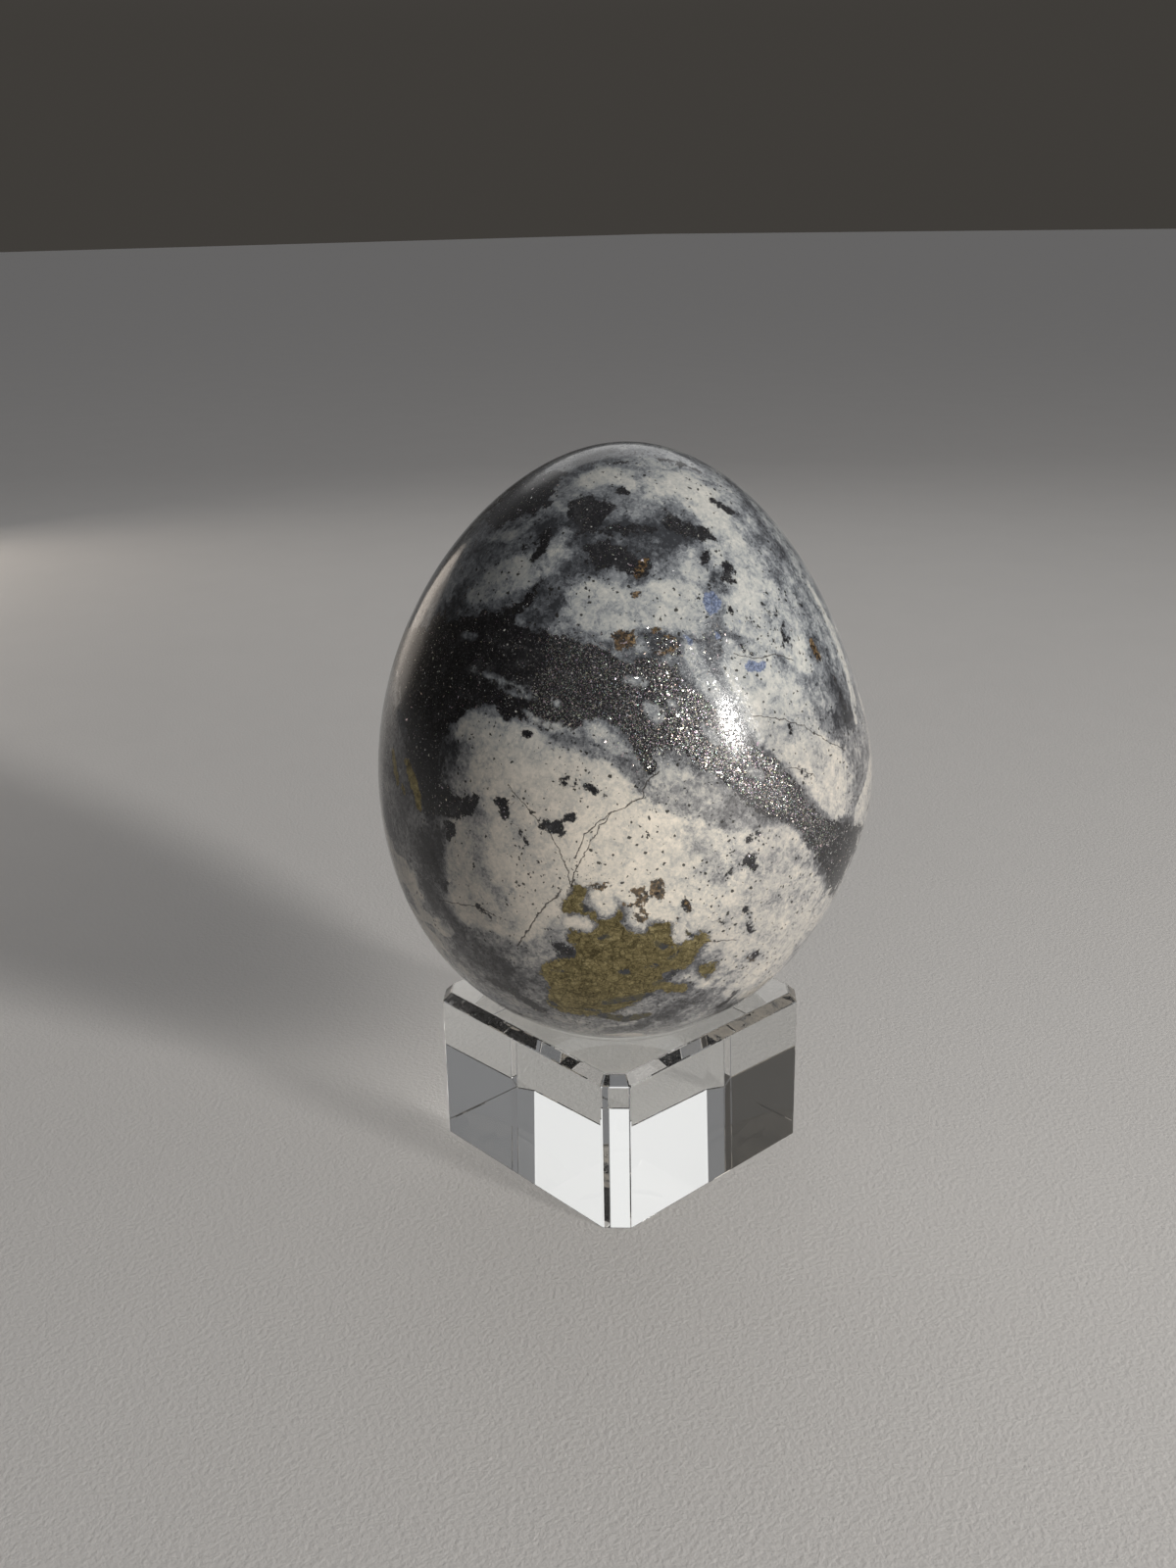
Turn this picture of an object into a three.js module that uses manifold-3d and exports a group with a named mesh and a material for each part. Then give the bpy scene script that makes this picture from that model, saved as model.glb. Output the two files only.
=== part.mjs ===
// A polished stone egg resting in the round dish of a clear glass stand.
// Millimetres, +Z up. The origin is the centre of the stand's underside.
import * as THREE from 'three';
import { ConvexGeometry } from 'three/addons/geometries/ConvexGeometry.js';
import { mergeVertices } from 'three/addons/utils/BufferGeometryUtils.js';
import Module from 'manifold-3d';

// Glass stand
const STAND_SIDE = 30; // the square block, across its flat sides
const STAND_HEIGHT = 17.8; // underside to top face
const CORNER_BEVEL = 2.1; // leg of the bevel ground on each upright corner
const TOP_BEVEL = 0.95; // leg of the 45 degree bevel round the top face
const DISH_BALL = 50; // diameter of the ball that the round hollow is ground with
const DISH_RIM = 24; // diameter of the hollow in the top face, which sets its depth

// Stone egg
const EGG_LENGTH = 62.9; // blunt end to tip
const EGG_WIDTH = 50.35; // across the girth, without the swell
const EGG_TAPER = 0.09; // how much thinner the tip half is than the blunt half
const EGG_POINT = 0.046; // how much the taper gathers towards the two ends
const TIP_LEAN = 1.2; // sideways shift of the tip
const SWELL_RISE = 1.48; // a fuller flank on one side, left by hand grinding
const SWELL_LEVEL = -0.11; // its height, from -1 at the blunt end to 1 at the tip
const SWELL_SPREAD = 0.34; // its half width, on the same scale
const LEAN_BEARING = 47.6; // degrees from +X, the side of the lean and the swell

// Fit
const SEAT_CLEARANCE = 0.3; // between the egg and the glass where it rests

// Fineness
const EGG_RINGS = 56;
const EGG_SIDES = 88;
const DISH_RINGS = 16;
const DISH_SIDES = 88;

const wasm = await Module();
wasm.setup();

const stoneMaterial = new THREE.MeshStandardMaterial({ color: 0x8f8d8a, roughness: 0.18, metalness: 0 });
const glassMaterial = new THREE.MeshStandardMaterial({
  color: 0xdfe6e4, roughness: 0.02, metalness: 0, transparent: true, opacity: 0.4,
});

// Keeps only the positions of a geometry and joins the points that coincide.
function welded(geometry) {
  const bare = geometry.clone();
  bare.deleteAttribute('normal');
  bare.deleteAttribute('uv');
  return mergeVertices(bare, 1e-5);
}

function toSolid(geometry) {
  const merged = welded(geometry);
  return new wasm.Manifold(new wasm.Mesh({
    numProp: 3,
    vertProperties: merged.attributes.position.array,
    triVerts: merged.index.array,
  }));
}

function fromSolid(solid) {
  const mesh = solid.getMesh();
  const geometry = new THREE.BufferGeometry();
  geometry.setAttribute('position', new THREE.BufferAttribute(mesh.vertProperties, 3));
  geometry.setIndex(new THREE.BufferAttribute(mesh.triVerts, 1));
  geometry.computeVertexNormals();
  return geometry;
}

// Turns a profile of radius and height about Z. It runs upwards from axis to axis.
function revolved(profile, sides) {
  const points = profile.map(([radius, height]) => new THREE.Vector2(radius, height));
  return new THREE.LatheGeometry(points, sides).rotateX(Math.PI / 2);
}

// The corners of the block at one height: a square with its corners cut at 45 degrees,
// drawn in by the same amount on all eight sides.
function blockOutline(height, inset) {
  const half = STAND_SIDE / 2 - inset;
  const leg = CORNER_BEVEL - inset * (2 - Math.SQRT2);
  const corners = [];
  for (let quarter = 0; quarter < 4; quarter += 1) {
    for (const along of [half, half - leg]) {
      const across = along === half ? half - leg : half;
      const corner = new THREE.Vector3(along, across, height);
      corners.push(corner.applyAxisAngle(new THREE.Vector3(0, 0, 1), quarter * Math.PI / 2));
    }
  }
  return corners;
}

const dishRadius = DISH_RIM / 2;
const ballRadius = DISH_BALL / 2;
const ballCentre = STAND_HEIGHT + Math.sqrt(ballRadius ** 2 - dishRadius ** 2);

// The ball that grinds the dish, cut off level just above the top face.
function dishGrinder() {
  const rimAngle = Math.asin(dishRadius / ballRadius);
  const profile = [];
  for (let ring = 0; ring <= DISH_RINGS + 1; ring += 1) {
    const angle = rimAngle * ring / DISH_RINGS;
    profile.push([ballRadius * Math.sin(angle), ballCentre - ballRadius * Math.cos(angle)]);
  }
  const lid = profile[profile.length - 1][1];
  profile.push([0, lid]);
  return revolved(profile, DISH_SIDES);
}

function glassStand() {
  const block = new ConvexGeometry([
    ...blockOutline(0, 0),
    ...blockOutline(STAND_HEIGHT - TOP_BEVEL, 0),
    ...blockOutline(STAND_HEIGHT, TOP_BEVEL),
  ]);
  const mesh = new THREE.Mesh(fromSolid(toSolid(block).subtract(toSolid(dishGrinder()))), glassMaterial);
  mesh.name = 'glass_stand';
  return mesh;
}

// Radius of the plain egg. The level runs from -1 at the blunt end to 1 at the tip.
function eggRadius(level) {
  const oval = Math.sqrt(Math.max(0, 1 - level ** 2));
  return EGG_WIDTH / 2 * oval * (1 - EGG_TAPER * level - EGG_POINT * level ** 3);
}

// How far the fuller flank stands out at a level, and at a bearing from its middle.
function swell(level, bearing) {
  const oval = Math.sqrt(Math.max(0, 1 - level ** 2));
  const rise = Math.exp(-(((level - SWELL_LEVEL) / SWELL_SPREAD) ** 2));
  return SWELL_RISE * oval * rise * Math.max(0, Math.cos(bearing)) ** 2;
}

// The egg with its blunt end at the origin: a revolved oval that is drawn to one side
// towards the tip and is fuller on that side.
function eggGeometry() {
  const profile = [];
  for (let ring = 0; ring <= EGG_RINGS; ring += 1) {
    const level = -Math.cos(Math.PI * ring / EGG_RINGS);
    const onAxis = ring === 0 || ring === EGG_RINGS;
    profile.push([onAxis ? 0 : eggRadius(level), EGG_LENGTH / 2 * (1 + level)]);
  }
  const geometry = welded(revolved(profile, EGG_SIDES));
  const side = THREE.MathUtils.degToRad(LEAN_BEARING);
  const point = new THREE.Vector3();
  const position = geometry.attributes.position;
  for (let i = 0; i < position.count; i += 1) {
    point.fromBufferAttribute(position, i);
    const level = 2 * point.z / EGG_LENGTH - 1;
    const bearing = Math.atan2(point.y, point.x);
    const rise = swell(level, bearing - side);
    const lean = TIP_LEAN * ((level + 1) / 2) ** 3;
    point.x += rise * Math.cos(bearing) + lean * Math.cos(side);
    point.y += rise * Math.sin(bearing) + lean * Math.sin(side);
    position.setXYZ(i, point.x, point.y, point.z);
  }
  geometry.computeVertexNormals();
  return geometry;
}

// Height of the stand's upper surface under a point at some distance from its axis.
function standSurface(distance) {
  if (distance >= dishRadius) return STAND_HEIGHT;
  return ballCentre - Math.sqrt(ballRadius ** 2 - distance ** 2);
}

// The egg comes straight down until its first point is one clearance above the glass.
function seatHeight(geometry) {
  const position = geometry.attributes.position;
  let height = -Infinity;
  for (let i = 0; i < position.count; i += 1) {
    const distance = Math.hypot(position.getX(i), position.getY(i));
    height = Math.max(height, standSurface(distance) + SEAT_CLEARANCE - position.getZ(i));
  }
  return height;
}

function stoneEgg() {
  const geometry = eggGeometry();
  const mesh = new THREE.Mesh(geometry, stoneMaterial);
  mesh.name = 'stone_egg';
  mesh.position.z = seatHeight(geometry);
  return mesh;
}

const eggOnStand = new THREE.Group();
eggOnStand.name = 'stone_egg_on_stand';
eggOnStand.add(glassStand(), stoneEgg());

export default eggOnStand;
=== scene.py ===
"""A polished stone egg in the round dish of a clear glass stand, dressed for rendering.

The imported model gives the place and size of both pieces. The egg's minerals lie in it as deposits, and each
mineral has a number at every point of the surface, its reach, which is the distance to the deposit's edge.
The side that the photograph shows has its deposits drawn in photograph pixels, as closed outlines and as
strokes of changing width. The other sides have strokes by bearing and level, and patches wherever a slow
noise is high. The stone's finish breaks the edges up and paints what lies inside them.
"""

import logging
import math
from dataclasses import dataclass
from enum import Enum

import bmesh
import bpy
import numpy as np
from mathutils import Matrix, Vector, noise
from mathutils.bvhtree import BVHTree


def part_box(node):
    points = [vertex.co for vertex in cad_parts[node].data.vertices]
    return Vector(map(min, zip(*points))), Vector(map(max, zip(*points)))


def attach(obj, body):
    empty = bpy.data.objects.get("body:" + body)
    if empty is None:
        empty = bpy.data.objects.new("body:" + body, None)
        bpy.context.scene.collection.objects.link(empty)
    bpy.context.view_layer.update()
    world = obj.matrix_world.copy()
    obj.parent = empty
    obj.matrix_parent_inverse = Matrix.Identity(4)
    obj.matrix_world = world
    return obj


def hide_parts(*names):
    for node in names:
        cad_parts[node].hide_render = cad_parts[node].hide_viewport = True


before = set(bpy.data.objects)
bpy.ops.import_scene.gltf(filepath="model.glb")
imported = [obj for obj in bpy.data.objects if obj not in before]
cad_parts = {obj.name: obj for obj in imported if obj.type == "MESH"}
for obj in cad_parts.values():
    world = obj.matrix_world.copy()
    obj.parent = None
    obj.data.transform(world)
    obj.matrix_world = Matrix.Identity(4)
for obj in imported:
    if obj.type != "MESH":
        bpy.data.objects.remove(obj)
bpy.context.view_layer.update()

LOG = logging.getLogger("stone_egg")

# Fixes the offsets in Blender's noise vectors, which otherwise differ from run to run.
NOISE_SEED = 7

MM = 0.001
PER_METRE = 1000.0
Triple = tuple[float, float, float]
Stroke = tuple[Triple, ...]
Outline = tuple[tuple[float, float], ...]
Colour = Triple
Ramp = tuple[tuple[float, Colour], ...]
Socket = bpy.types.NodeSocket


class Mineral(Enum):
    """The minerals that lie in the quartz, by the name of the surface attribute that holds their reach."""

    CREAM = "cream_reach"
    # Smoky quartz, and also painted shade on the egg's left flank.
    SMOKE = "smoke_and_shade_reach"
    CHARCOAL = "charcoal_reach"
    SPARKLE = "sparkle_reach"
    BRASS = "brass_reach"
    RUST = "rust_reach"
    AZURE = "azure_reach"
    INCLUSION = "inclusion_reach"
    ISLAND = "island_reach"


class BlockEdges(Enum):
    """The edges of the glass block that are bevelled."""

    UPRIGHT = "upright"
    TOP_RIM = "top rim"


# Deposits on the side that the photograph shows, by their outlines: photograph pixels across and down.
SHOWN_OUTLINES: dict[Mineral, tuple[Outline, ...]] = {
    Mineral.CHARCOAL: (
        # The band, and the dark left flank below it, which is partly charcoal and partly painted shade
        ((400, 640), (439, 640), (459, 634), (479, 626), (500, 624), (518, 628), (530, 640), (552, 646),
         (580, 648), (602, 656), (621, 667), (640, 676), (662, 672), (690, 678), (697, 697), (716, 709),
         (730, 728), (748, 752), (771, 761), (791, 777), (811, 800), (823, 816), (835, 830), (856, 840),
         (880, 842), (876, 862), (862, 890), (850, 918), (842, 895), (831, 868), (819, 850), (799, 838),
         (778, 830), (762, 820), (738, 796), (716, 782), (694, 766), (669, 764), (667, 790), (657, 793),
         (647, 768), (638, 747), (622, 736), (602, 734), (588, 743), (568, 744), (540, 736), (512, 724),
         (491, 717), (475, 725), (459, 741), (451, 765), (452, 796), (463, 812), (487, 814), (489, 829),
         (459, 836), (434, 832), (423, 808), (415, 756), (408, 717), (402, 677)),
        # The black patch near the top
        ((578, 513), (594, 507), (619, 509), (628, 518), (619, 528), (615, 539), (602, 541), (587, 537),
         (579, 528)),
        # The streak right of it
        ((678, 521), (691, 523), (699, 535), (716, 536), (733, 548), (728, 555), (707, 548), (690, 545),
         (680, 540)),
        # The dark upper left shoulder
        ((520, 498), (543, 486), (566, 478), (578, 484), (566, 500), (560, 516), (548, 524), (532, 526),
         (516, 534), (502, 541), (496, 530), (508, 512)),
        # The dark grains in the upper middle
        ((598, 558), (618, 552), (640, 560), (650, 574), (662, 566), (662, 588), (646, 590), (630, 580),
         (610, 582), (600, 574)),
    ),
    Mineral.CREAM: (
        # The broad cream field below the band
        ((478, 726), (517, 736), (545, 746), (572, 758), (592, 772), (616, 776), (640, 796), (662, 818),
         (700, 832), (740, 850), (775, 846), (800, 838), (820, 856), (834, 890), (842, 908), (834, 934),
         (812, 968), (790, 1004), (768, 1022), (742, 1020), (722, 980), (690, 946), (650, 934),
         (612, 900), (584, 918), (560, 948), (532, 964), (500, 950), (470, 940), (456, 904), (452, 866),
         (462, 800), (466, 750)),
        # The lobe right of the highlight
        ((737, 650), (762, 655), (790, 668), (812, 690), (828, 720), (838, 748), (862, 768), (872, 800),
         (868, 828), (850, 838), (834, 820), (818, 795), (798, 778), (772, 756), (758, 724), (738, 690)),
        # The pale diagonal up to the top
        ((652, 484), (700, 480), (732, 504), (757, 540), (786, 588), (816, 640), (832, 680), (818, 688),
         (790, 664), (756, 648), (738, 636), (742, 602), (724, 562), (708, 524), (690, 506), (660, 506)),
        # The white field above the band
        ((578, 604), (604, 592), (640, 600), (676, 592), (712, 596), (722, 624), (712, 648), (684, 644),
         (652, 640), (618, 656), (592, 640), (572, 626)),
    ),
    Mineral.SMOKE: (
        # The dark lens at the right limb
        ((826, 652), (833, 650), (842, 668), (853, 690), (865, 706), (869, 732), (862, 748), (854, 738),
         (847, 716), (838, 686)),
    ),
    Mineral.SPARKLE: (
        # The band's bright half and the quartz round the highlight
        ((560, 640), (640, 640), (664, 644), (684, 640), (700, 655), (714, 628), (746, 640), (756, 680),
         (772, 706), (776, 760), (812, 800), (846, 838), (852, 856), (838, 872), (822, 854), (790, 828),
         (736, 800), (690, 776), (650, 786), (600, 750), (540, 734)),
    ),
    Mineral.AZURE: (
        ((718, 606), (727, 603), (733, 609), (737, 617), (733, 625), (724, 628), (720, 622), (717, 613)),
        ((759, 679), (765, 673), (772, 676), (781, 674), (781, 682), (777, 686), (771, 684), (766, 687),
         (761, 683)),
    ),
    Mineral.BRASS: (
        # The body of the brassy patch
        ((612, 941), (608, 950), (595, 953), (582, 948), (579, 959), (588, 967), (586, 978), (569, 979),
         (554, 984), (551, 992), (560, 1004), (561, 1015), (557, 1023), (572, 1031), (590, 1036),
         (610, 1037), (636, 1030), (650, 1022), (659, 1014), (670, 1011), (684, 1012), (702, 1012),
         (700, 1004), (684, 1003), (675, 999), (675, 994), (686, 989), (701, 987), (707, 981), (711, 973),
         (714, 966), (724, 959), (720, 951), (714, 951), (707, 959), (697, 963), (686, 967), (684, 943),
         (675, 941), (665, 944), (660, 951), (650, 953), (640, 949), (634, 943), (637, 932), (634, 926),
         (628, 936), (620, 939)),
        # The arm at its upper left, with a thin neck
        ((586, 903), (599, 906), (600, 912), (592, 921), (602, 927), (612, 937), (610, 942), (600, 934),
         (588, 932), (574, 930), (574, 922), (583, 912)),
        # The grain at the lower right
        ((712, 986), (722, 984), (732, 982), (730, 990), (720, 997), (712, 994)),
    ),
    Mineral.RUST: (
        # The grain above the band
        ((624, 647), (633, 641), (640, 645), (647, 642), (649, 651), (648, 660), (638, 662), (626, 664),
         (627, 655)),
        # The grain above the brassy patch
        ((664, 898), (671, 896), (679, 899), (677, 906), (680, 912), (676, 918), (669, 918), (666, 911),
         (662, 908)),
    ),
}

# Deposits on the same side, by a line along the middle: photograph pixel, half width in millimetres.
SHOWN_DEPOSITS: dict[Mineral, tuple[Stroke, ...]] = {
    Mineral.CHARCOAL: (
        ((446, 640, 1.6), (436, 700, 2.4), (432, 760, 2.0), (434, 800, 1.6)),
        ((845, 858, 1.4), (862, 880, 1.6)),
        ((460, 846, 0.7), (458, 856, 0.4)),
        ((558, 544, 0.6), (553, 558, 0.6), (546, 571, 0.35)),
        ((536, 558, 0.25), (548, 556, 0.3)),
        ((550, 593, 0.35), (541, 607, 0.4), (531, 621, 0.5), (512, 629, 0.6)),
        ((592, 543, 0.3), (616, 540, 0.3), (640, 540, 0.5), (666, 540, 0.4)),
        ((729, 511, 0.45), (749, 523, 0.45)),
        ((742, 580, 0.7), (743, 590, 0.6)),
        ((714, 575, 0.2), (722, 566, 0.25)),
        ((672, 468, 0.2), (692, 472, 0.4), (712, 481, 0.25)),
        ((626, 473, 0.4), (640, 471, 0.2)),
        ((633, 500, 0.45), (640, 503, 0.3)),
        ((780, 617, 0.13), (785, 614, 0.18)),
        ((791, 617, 0.07), (792, 622, 0.1)),
        ((785, 628, 0.12), (790, 627, 0.16)),
        ((784, 633, 0.13), (786, 637, 0.1)),
        ((786, 648, 0.1), (789, 652, 0.13), (791, 641, 0.08)),
        ((798, 642, 0.13), (801, 634, 0.16)),
        ((805, 640, 0.12), (813, 648, 0.11)),
        ((800, 646, 0.11), (805, 656, 0.16), (808, 661, 0.14)),
        ((795, 659, 0.1), (800, 656, 0.13)),
        ((745, 618, 0.10), (746, 626, 0.13)),
        ((762, 634, 0.09), (770, 638, 0.13)),
        ((817, 618, 0.06), (821, 626, 0.08)),
        ((660, 648, 0.12), (668, 644, 0.2)),
        ((666, 658, 0.1), (678, 658, 0.22), (690, 656, 0.15)),
        ((680, 671, 0.1), (692, 665, 0.2)),
        ((815, 782, 0.12), (819, 788, 0.2), (822, 793, 0.15)),
        ((848, 686, 0.12), (857, 706, 0.28), (862, 728, 0.28)),
        ((806, 742, 0.1), (807, 748, 0.14)),
        ((758, 660, 0.2), (770, 672, 0.2)),
        ((513, 820, 0.6), (514, 828, 0.55)),
        ((556, 842, 0.5), (566, 845, 0.7), (573, 849, 0.4)),
        ((577, 835, 0.25), (582, 834, 0.25)),
        ((525, 840, 0.12), (531, 849, 0.18), (536, 857, 0.3)),
        ((577, 798, 0.3), (583, 798, 0.3)),
        ((596, 804, 0.25), (603, 806, 0.3)),
        ((619, 811, 0.2), (612, 806, 0.15)),
        ((514, 722, 0.5), (517, 730, 0.45), (530, 727, 0.3)),
        ((538, 749, 0.18), (540, 750, 0.15)),
        ((564, 763, 0.18), (566, 764, 0.15)),
        ((765, 876, 0.6), (768, 886, 0.4)),
        ((764, 857, 0.2), (773, 851, 0.25)),
        ((742, 893, 0.25), (746, 892, 0.2)),
        ((760, 928, 0.2), (761, 931, 0.2)),
        ((735, 940, 0.2), (740, 941, 0.2)),
        ((762, 944, 0.3), (766, 950, 0.25)),
        ((765, 978, 0.5), (771, 974, 0.4)),
        ((700, 921, 0.4), (703, 928, 0.3)),
        ((566, 964, 0.5), (580, 972, 0.9), (572, 982, 0.5)),
        ((500, 1000, 0.6), (524, 1012, 1.0), (552, 1030, 0.8)),
        ((676, 1000, 0.4), (686, 993, 0.3), (692, 984, 0.25)),
        ((734, 1028, 0.4), (752, 1011, 0.5)),
        ((500, 935, 0.3), (488, 925, 0.2)),
        ((440, 870, 0.3), (446, 884, 0.35)),
        ((452, 905, 0.35), (458, 902, 0.25)),
    ),
    Mineral.SMOKE: (
        ((560, 540, 1.6), (600, 548, 2.2), (650, 552, 2.2), (690, 548, 1.6)),
        ((560, 600, 1.4), (552, 630, 1.6), (590, 576, 1.6)),
        ((484, 564, 0.6), (494, 558, 0.4)),
        ((466, 606, 0.9), (462, 624, 1.2)),
        ((556, 752, 0.5), (592, 758, 0.6), (628, 762, 0.6), (650, 800, 0.5)),
        ((640, 662, 0.3), (668, 670, 0.3)),
        # Painted shade: this stroke and the next darken the egg's shaded left flank.
        ((442, 860, 2.0), (440, 910, 1.8), (470, 960, 2.0), (510, 990, 2.2), (545, 1000, 1.3)),
        ((470, 770, 1.4), (466, 800, 1.2), (486, 840, 1.2)),
        ((620, 1054, 1.0), (668, 1040, 1.2), (706, 1022, 1.0), (728, 1004, 0.6)),
        ((734, 590, 0.6), (742, 602, 0.7)),
        ((700, 462, 1.0), (730, 478, 0.9), (758, 508, 0.9), (780, 540, 1.3), (800, 566, 1.2),
         (814, 592, 0.6)),
        ((600, 468, 1.6), (640, 462, 1.0)),
        ((784, 626, 0.4), (794, 640, 0.3), (804, 650, 0.6)),
        ((664, 650, 0.5), (680, 658, 0.7), (690, 660, 0.5)),
        ((776, 550, 0.4), (796, 570, 0.4)),
        ((798, 674, 0.3), (802, 684, 0.3)),
        ((702, 852, 0.5), (716, 866, 0.9), (730, 884, 1.0)),
        ((750, 868, 0.4), (776, 884, 0.5), (792, 872, 0.3)),
        ((766, 926, 0.4), (760, 944, 0.4)),
        ((806, 864, 0.3), (822, 886, 0.4)),
        ((706, 962, 0.3), (726, 976, 0.4), (750, 1000, 0.5)),
        # Painted shade on the left flank as well.
        ((486, 870, 0.8), (500, 900, 0.9), (520, 936, 0.8)),
    ),
    Mineral.CREAM: (
        ((586, 941, 0.9), (597, 943, 0.6)),
        ((614, 915, 1.1), (621, 928, 0.8)),
        ((648, 938, 0.7), (650, 930, 0.5)),
        ((669, 926, 1.2), (688, 930, 1.0)),
        ((696, 950, 1.0), (690, 957, 0.7)),
        ((704, 996, 0.5), (722, 1004, 0.8), (738, 996, 0.9)),
        ((600, 490, 1.2), (622, 484, 1.2), (640, 496, 0.8)),
        ((576, 545, 0.6), (566, 560, 0.8)),
        ((700, 566, 0.9), (712, 584, 1.2)),
        ((826, 598, 0.5), (840, 624, 0.8), (852, 650, 1.1), (863, 682, 1.0), (868, 704, 0.5)),
    ),
    Mineral.BRASS: (
        # Gold flecks at the left limb, drawn wide to stand partly for a painted reflection along the limb.
        ((401, 768, 0.4), (403, 784, 0.5), (406, 798, 0.35)),
        ((415, 778, 0.4), (420, 793, 0.7), (425, 808, 0.6), (428, 824, 0.4)),
        ((410, 802, 0.2), (413, 809, 0.25)),
    ),
    Mineral.RUST: (
        ((603, 902, 0.2), (613, 906, 0.32), (618, 902, 0.24)),
        ((647, 908, 0.28), (654, 915, 0.3)),
        ((655, 906, 0.2), (657, 910, 0.2)),
        ((637, 923, 0.26), (646, 923, 0.26), (654, 920, 0.3), (662, 914, 0.3)),
        ((654, 924, 0.24), (656, 931, 0.26)),
        ((649, 934, 0.28), (656, 940, 0.26), (660, 933, 0.2)),
        ((700, 922, 0.2), (704, 930, 0.26)),
        ((764, 978, 0.14), (770, 981, 0.2)),
        ((689, 941, 0.2), (692, 938, 0.2)),
        ((584, 914, 0.35), (582, 924, 0.3)),
        ((664, 646, 0.16), (672, 641, 0.24)),
        ((672, 655, 0.18), (684, 650, 0.24), (692, 652, 0.16)),
        ((670, 667, 0.16), (680, 666, 0.22), (690, 660, 0.2)),
        ((828, 656, 0.4), (835, 670, 0.5)),
        ((650, 586, 0.4), (658, 572, 0.35)),
        ((647, 607, 0.3), (652, 606, 0.25)),
    ),
    Mineral.AZURE: (
        ((731, 644, 0.2), (733, 650, 0.25)),
        ((753, 633, 0.1), (755, 635, 0.15)),
        ((700, 650, 0.2), (706, 656, 0.25)),
    ),
    Mineral.INCLUSION: (
        ((594, 924, 0.3), (598, 928, 0.35)),
        ((632, 993, 0.3), (640, 991, 0.35)),
        ((660, 986, 0.12), (667, 985, 0.25), (673, 985, 0.12)),
        ((668, 962, 0.2), (678, 966, 0.35)),
        ((564, 990, 0.1), (576, 991, 0.08)),
        ((612, 957, 0.25), (622, 955, 0.2)),
        ((560, 1022, 0.25), (568, 1026, 0.25)),
        ((684, 978, 0.25), (694, 970, 0.15)),
        ((616, 1024, 0.3), (630, 1021, 0.5), (650, 1018, 0.5), (664, 1014, 0.3)),
        ((616, 1036, 0.6), (638, 1040, 0.8), (658, 1036, 0.6)),
        ((668, 1004, 0.25), (678, 1000, 0.3), (686, 994, 0.2)),
        ((652, 955, 0.12), (662, 952, 0.2)),
        ((700, 950, 0.12), (706, 956, 0.2)),
        ((598, 1030, 0.2), (612, 1032, 0.25)),
        ((670, 905, 0.12), (674, 907, 0.16)),
        ((698, 925, 0.1), (701, 929, 0.14)),
    ),
    # Pale quartz inside the dark band
    Mineral.ISLAND: (
        ((662, 722, 0.6), (672, 731, 0.75)),
        ((684, 716, 0.25), (689, 722, 0.3)),
        ((640, 693, 0.35), (656, 697, 0.45)),
        ((482, 683, 0.12), (500, 690, 0.22), (520, 697, 0.18), (540, 703, 0.12)),
        ((508, 700, 0.1), (526, 708, 0.18), (548, 713, 0.12)),
        ((563, 713, 0.15), (569, 718, 0.25)),
        ((650, 663, 0.4), (660, 666, 0.35)),
        ((764, 785, 0.4), (776, 792, 0.5)),
        ((718, 742, 0.4), (732, 756, 0.5)),
        # Pale quartz left of the highlight, made paler to stand partly for painted highlight glow.
        ((706, 664, 0.7), (716, 688, 0.8), (732, 712, 0.6)),
        ((474, 648, 0.3), (486, 650, 0.25)),
        ((604, 746, 0.6), (624, 756, 0.7), (636, 768, 0.5)),
        ((688, 788, 0.6), (715, 806, 0.6)),
        ((484, 608, 0.9), (503, 596, 1.8), (523, 586, 1.9), (542, 590, 0.9)),
        ((500, 548, 0.4), (524, 546, 0.5), (548, 530, 0.4)),
        ((536, 726, 0.2), (552, 738, 0.3), (572, 742, 0.25)),
    ),
}

# Deposits on the other sides: bearing in degrees from +X, level on the egg, half width in millimetres.
HIDDEN_DEPOSITS: dict[Mineral, tuple[Stroke, ...]] = {
    Mineral.CHARCOAL: (
        ((44, -0.34, 2.4), (60, -0.30, 3.2), (84, -0.20, 4.0), (112, -0.06, 3.4), (136, 0.05, 4.2)),
        ((136, 0.05, 4.2), (160, 0.16, 3.4), (184, 0.30, 4.6), (206, 0.40, 4.4), (226, 0.36, 3.6)),
        ((112, -0.06, 2.4), (126, -0.30, 1.8), (138, -0.50, 1.2)),
        ((222, 0.30, 3.0), (228, 0.10, 2.6), (226, -0.10, 1.6)),
    ),
    Mineral.SPARKLE: (
        ((66, -0.30, 2.6), (96, -0.16, 3.4), (136, 0.05, 3.6), (184, 0.30, 3.8), (206, 0.38, 3.4)),
    ),
    Mineral.BRASS: (
        ((166, -0.42, 0.9), (172, -0.48, 1.5), (180, -0.46, 0.8)),
        ((92, 0.02, 0.5), (97, 0.05, 0.7)),
        ((120, -0.78, 1.2), (132, -0.82, 0.9)),
    ),
    Mineral.RUST: (
        ((161, -0.40, 0.4), (163, -0.44, 0.5)),
        ((104, 0.22, 0.5), (107, 0.24, 0.4)),
    ),
    Mineral.AZURE: (
        ((84, 0.38, 0.7), (86, 0.40, 0.6)),
    ),
    Mineral.INCLUSION: (
        ((172, -0.46, 0.35), (174, -0.47, 0.3)),
    ),
}


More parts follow.
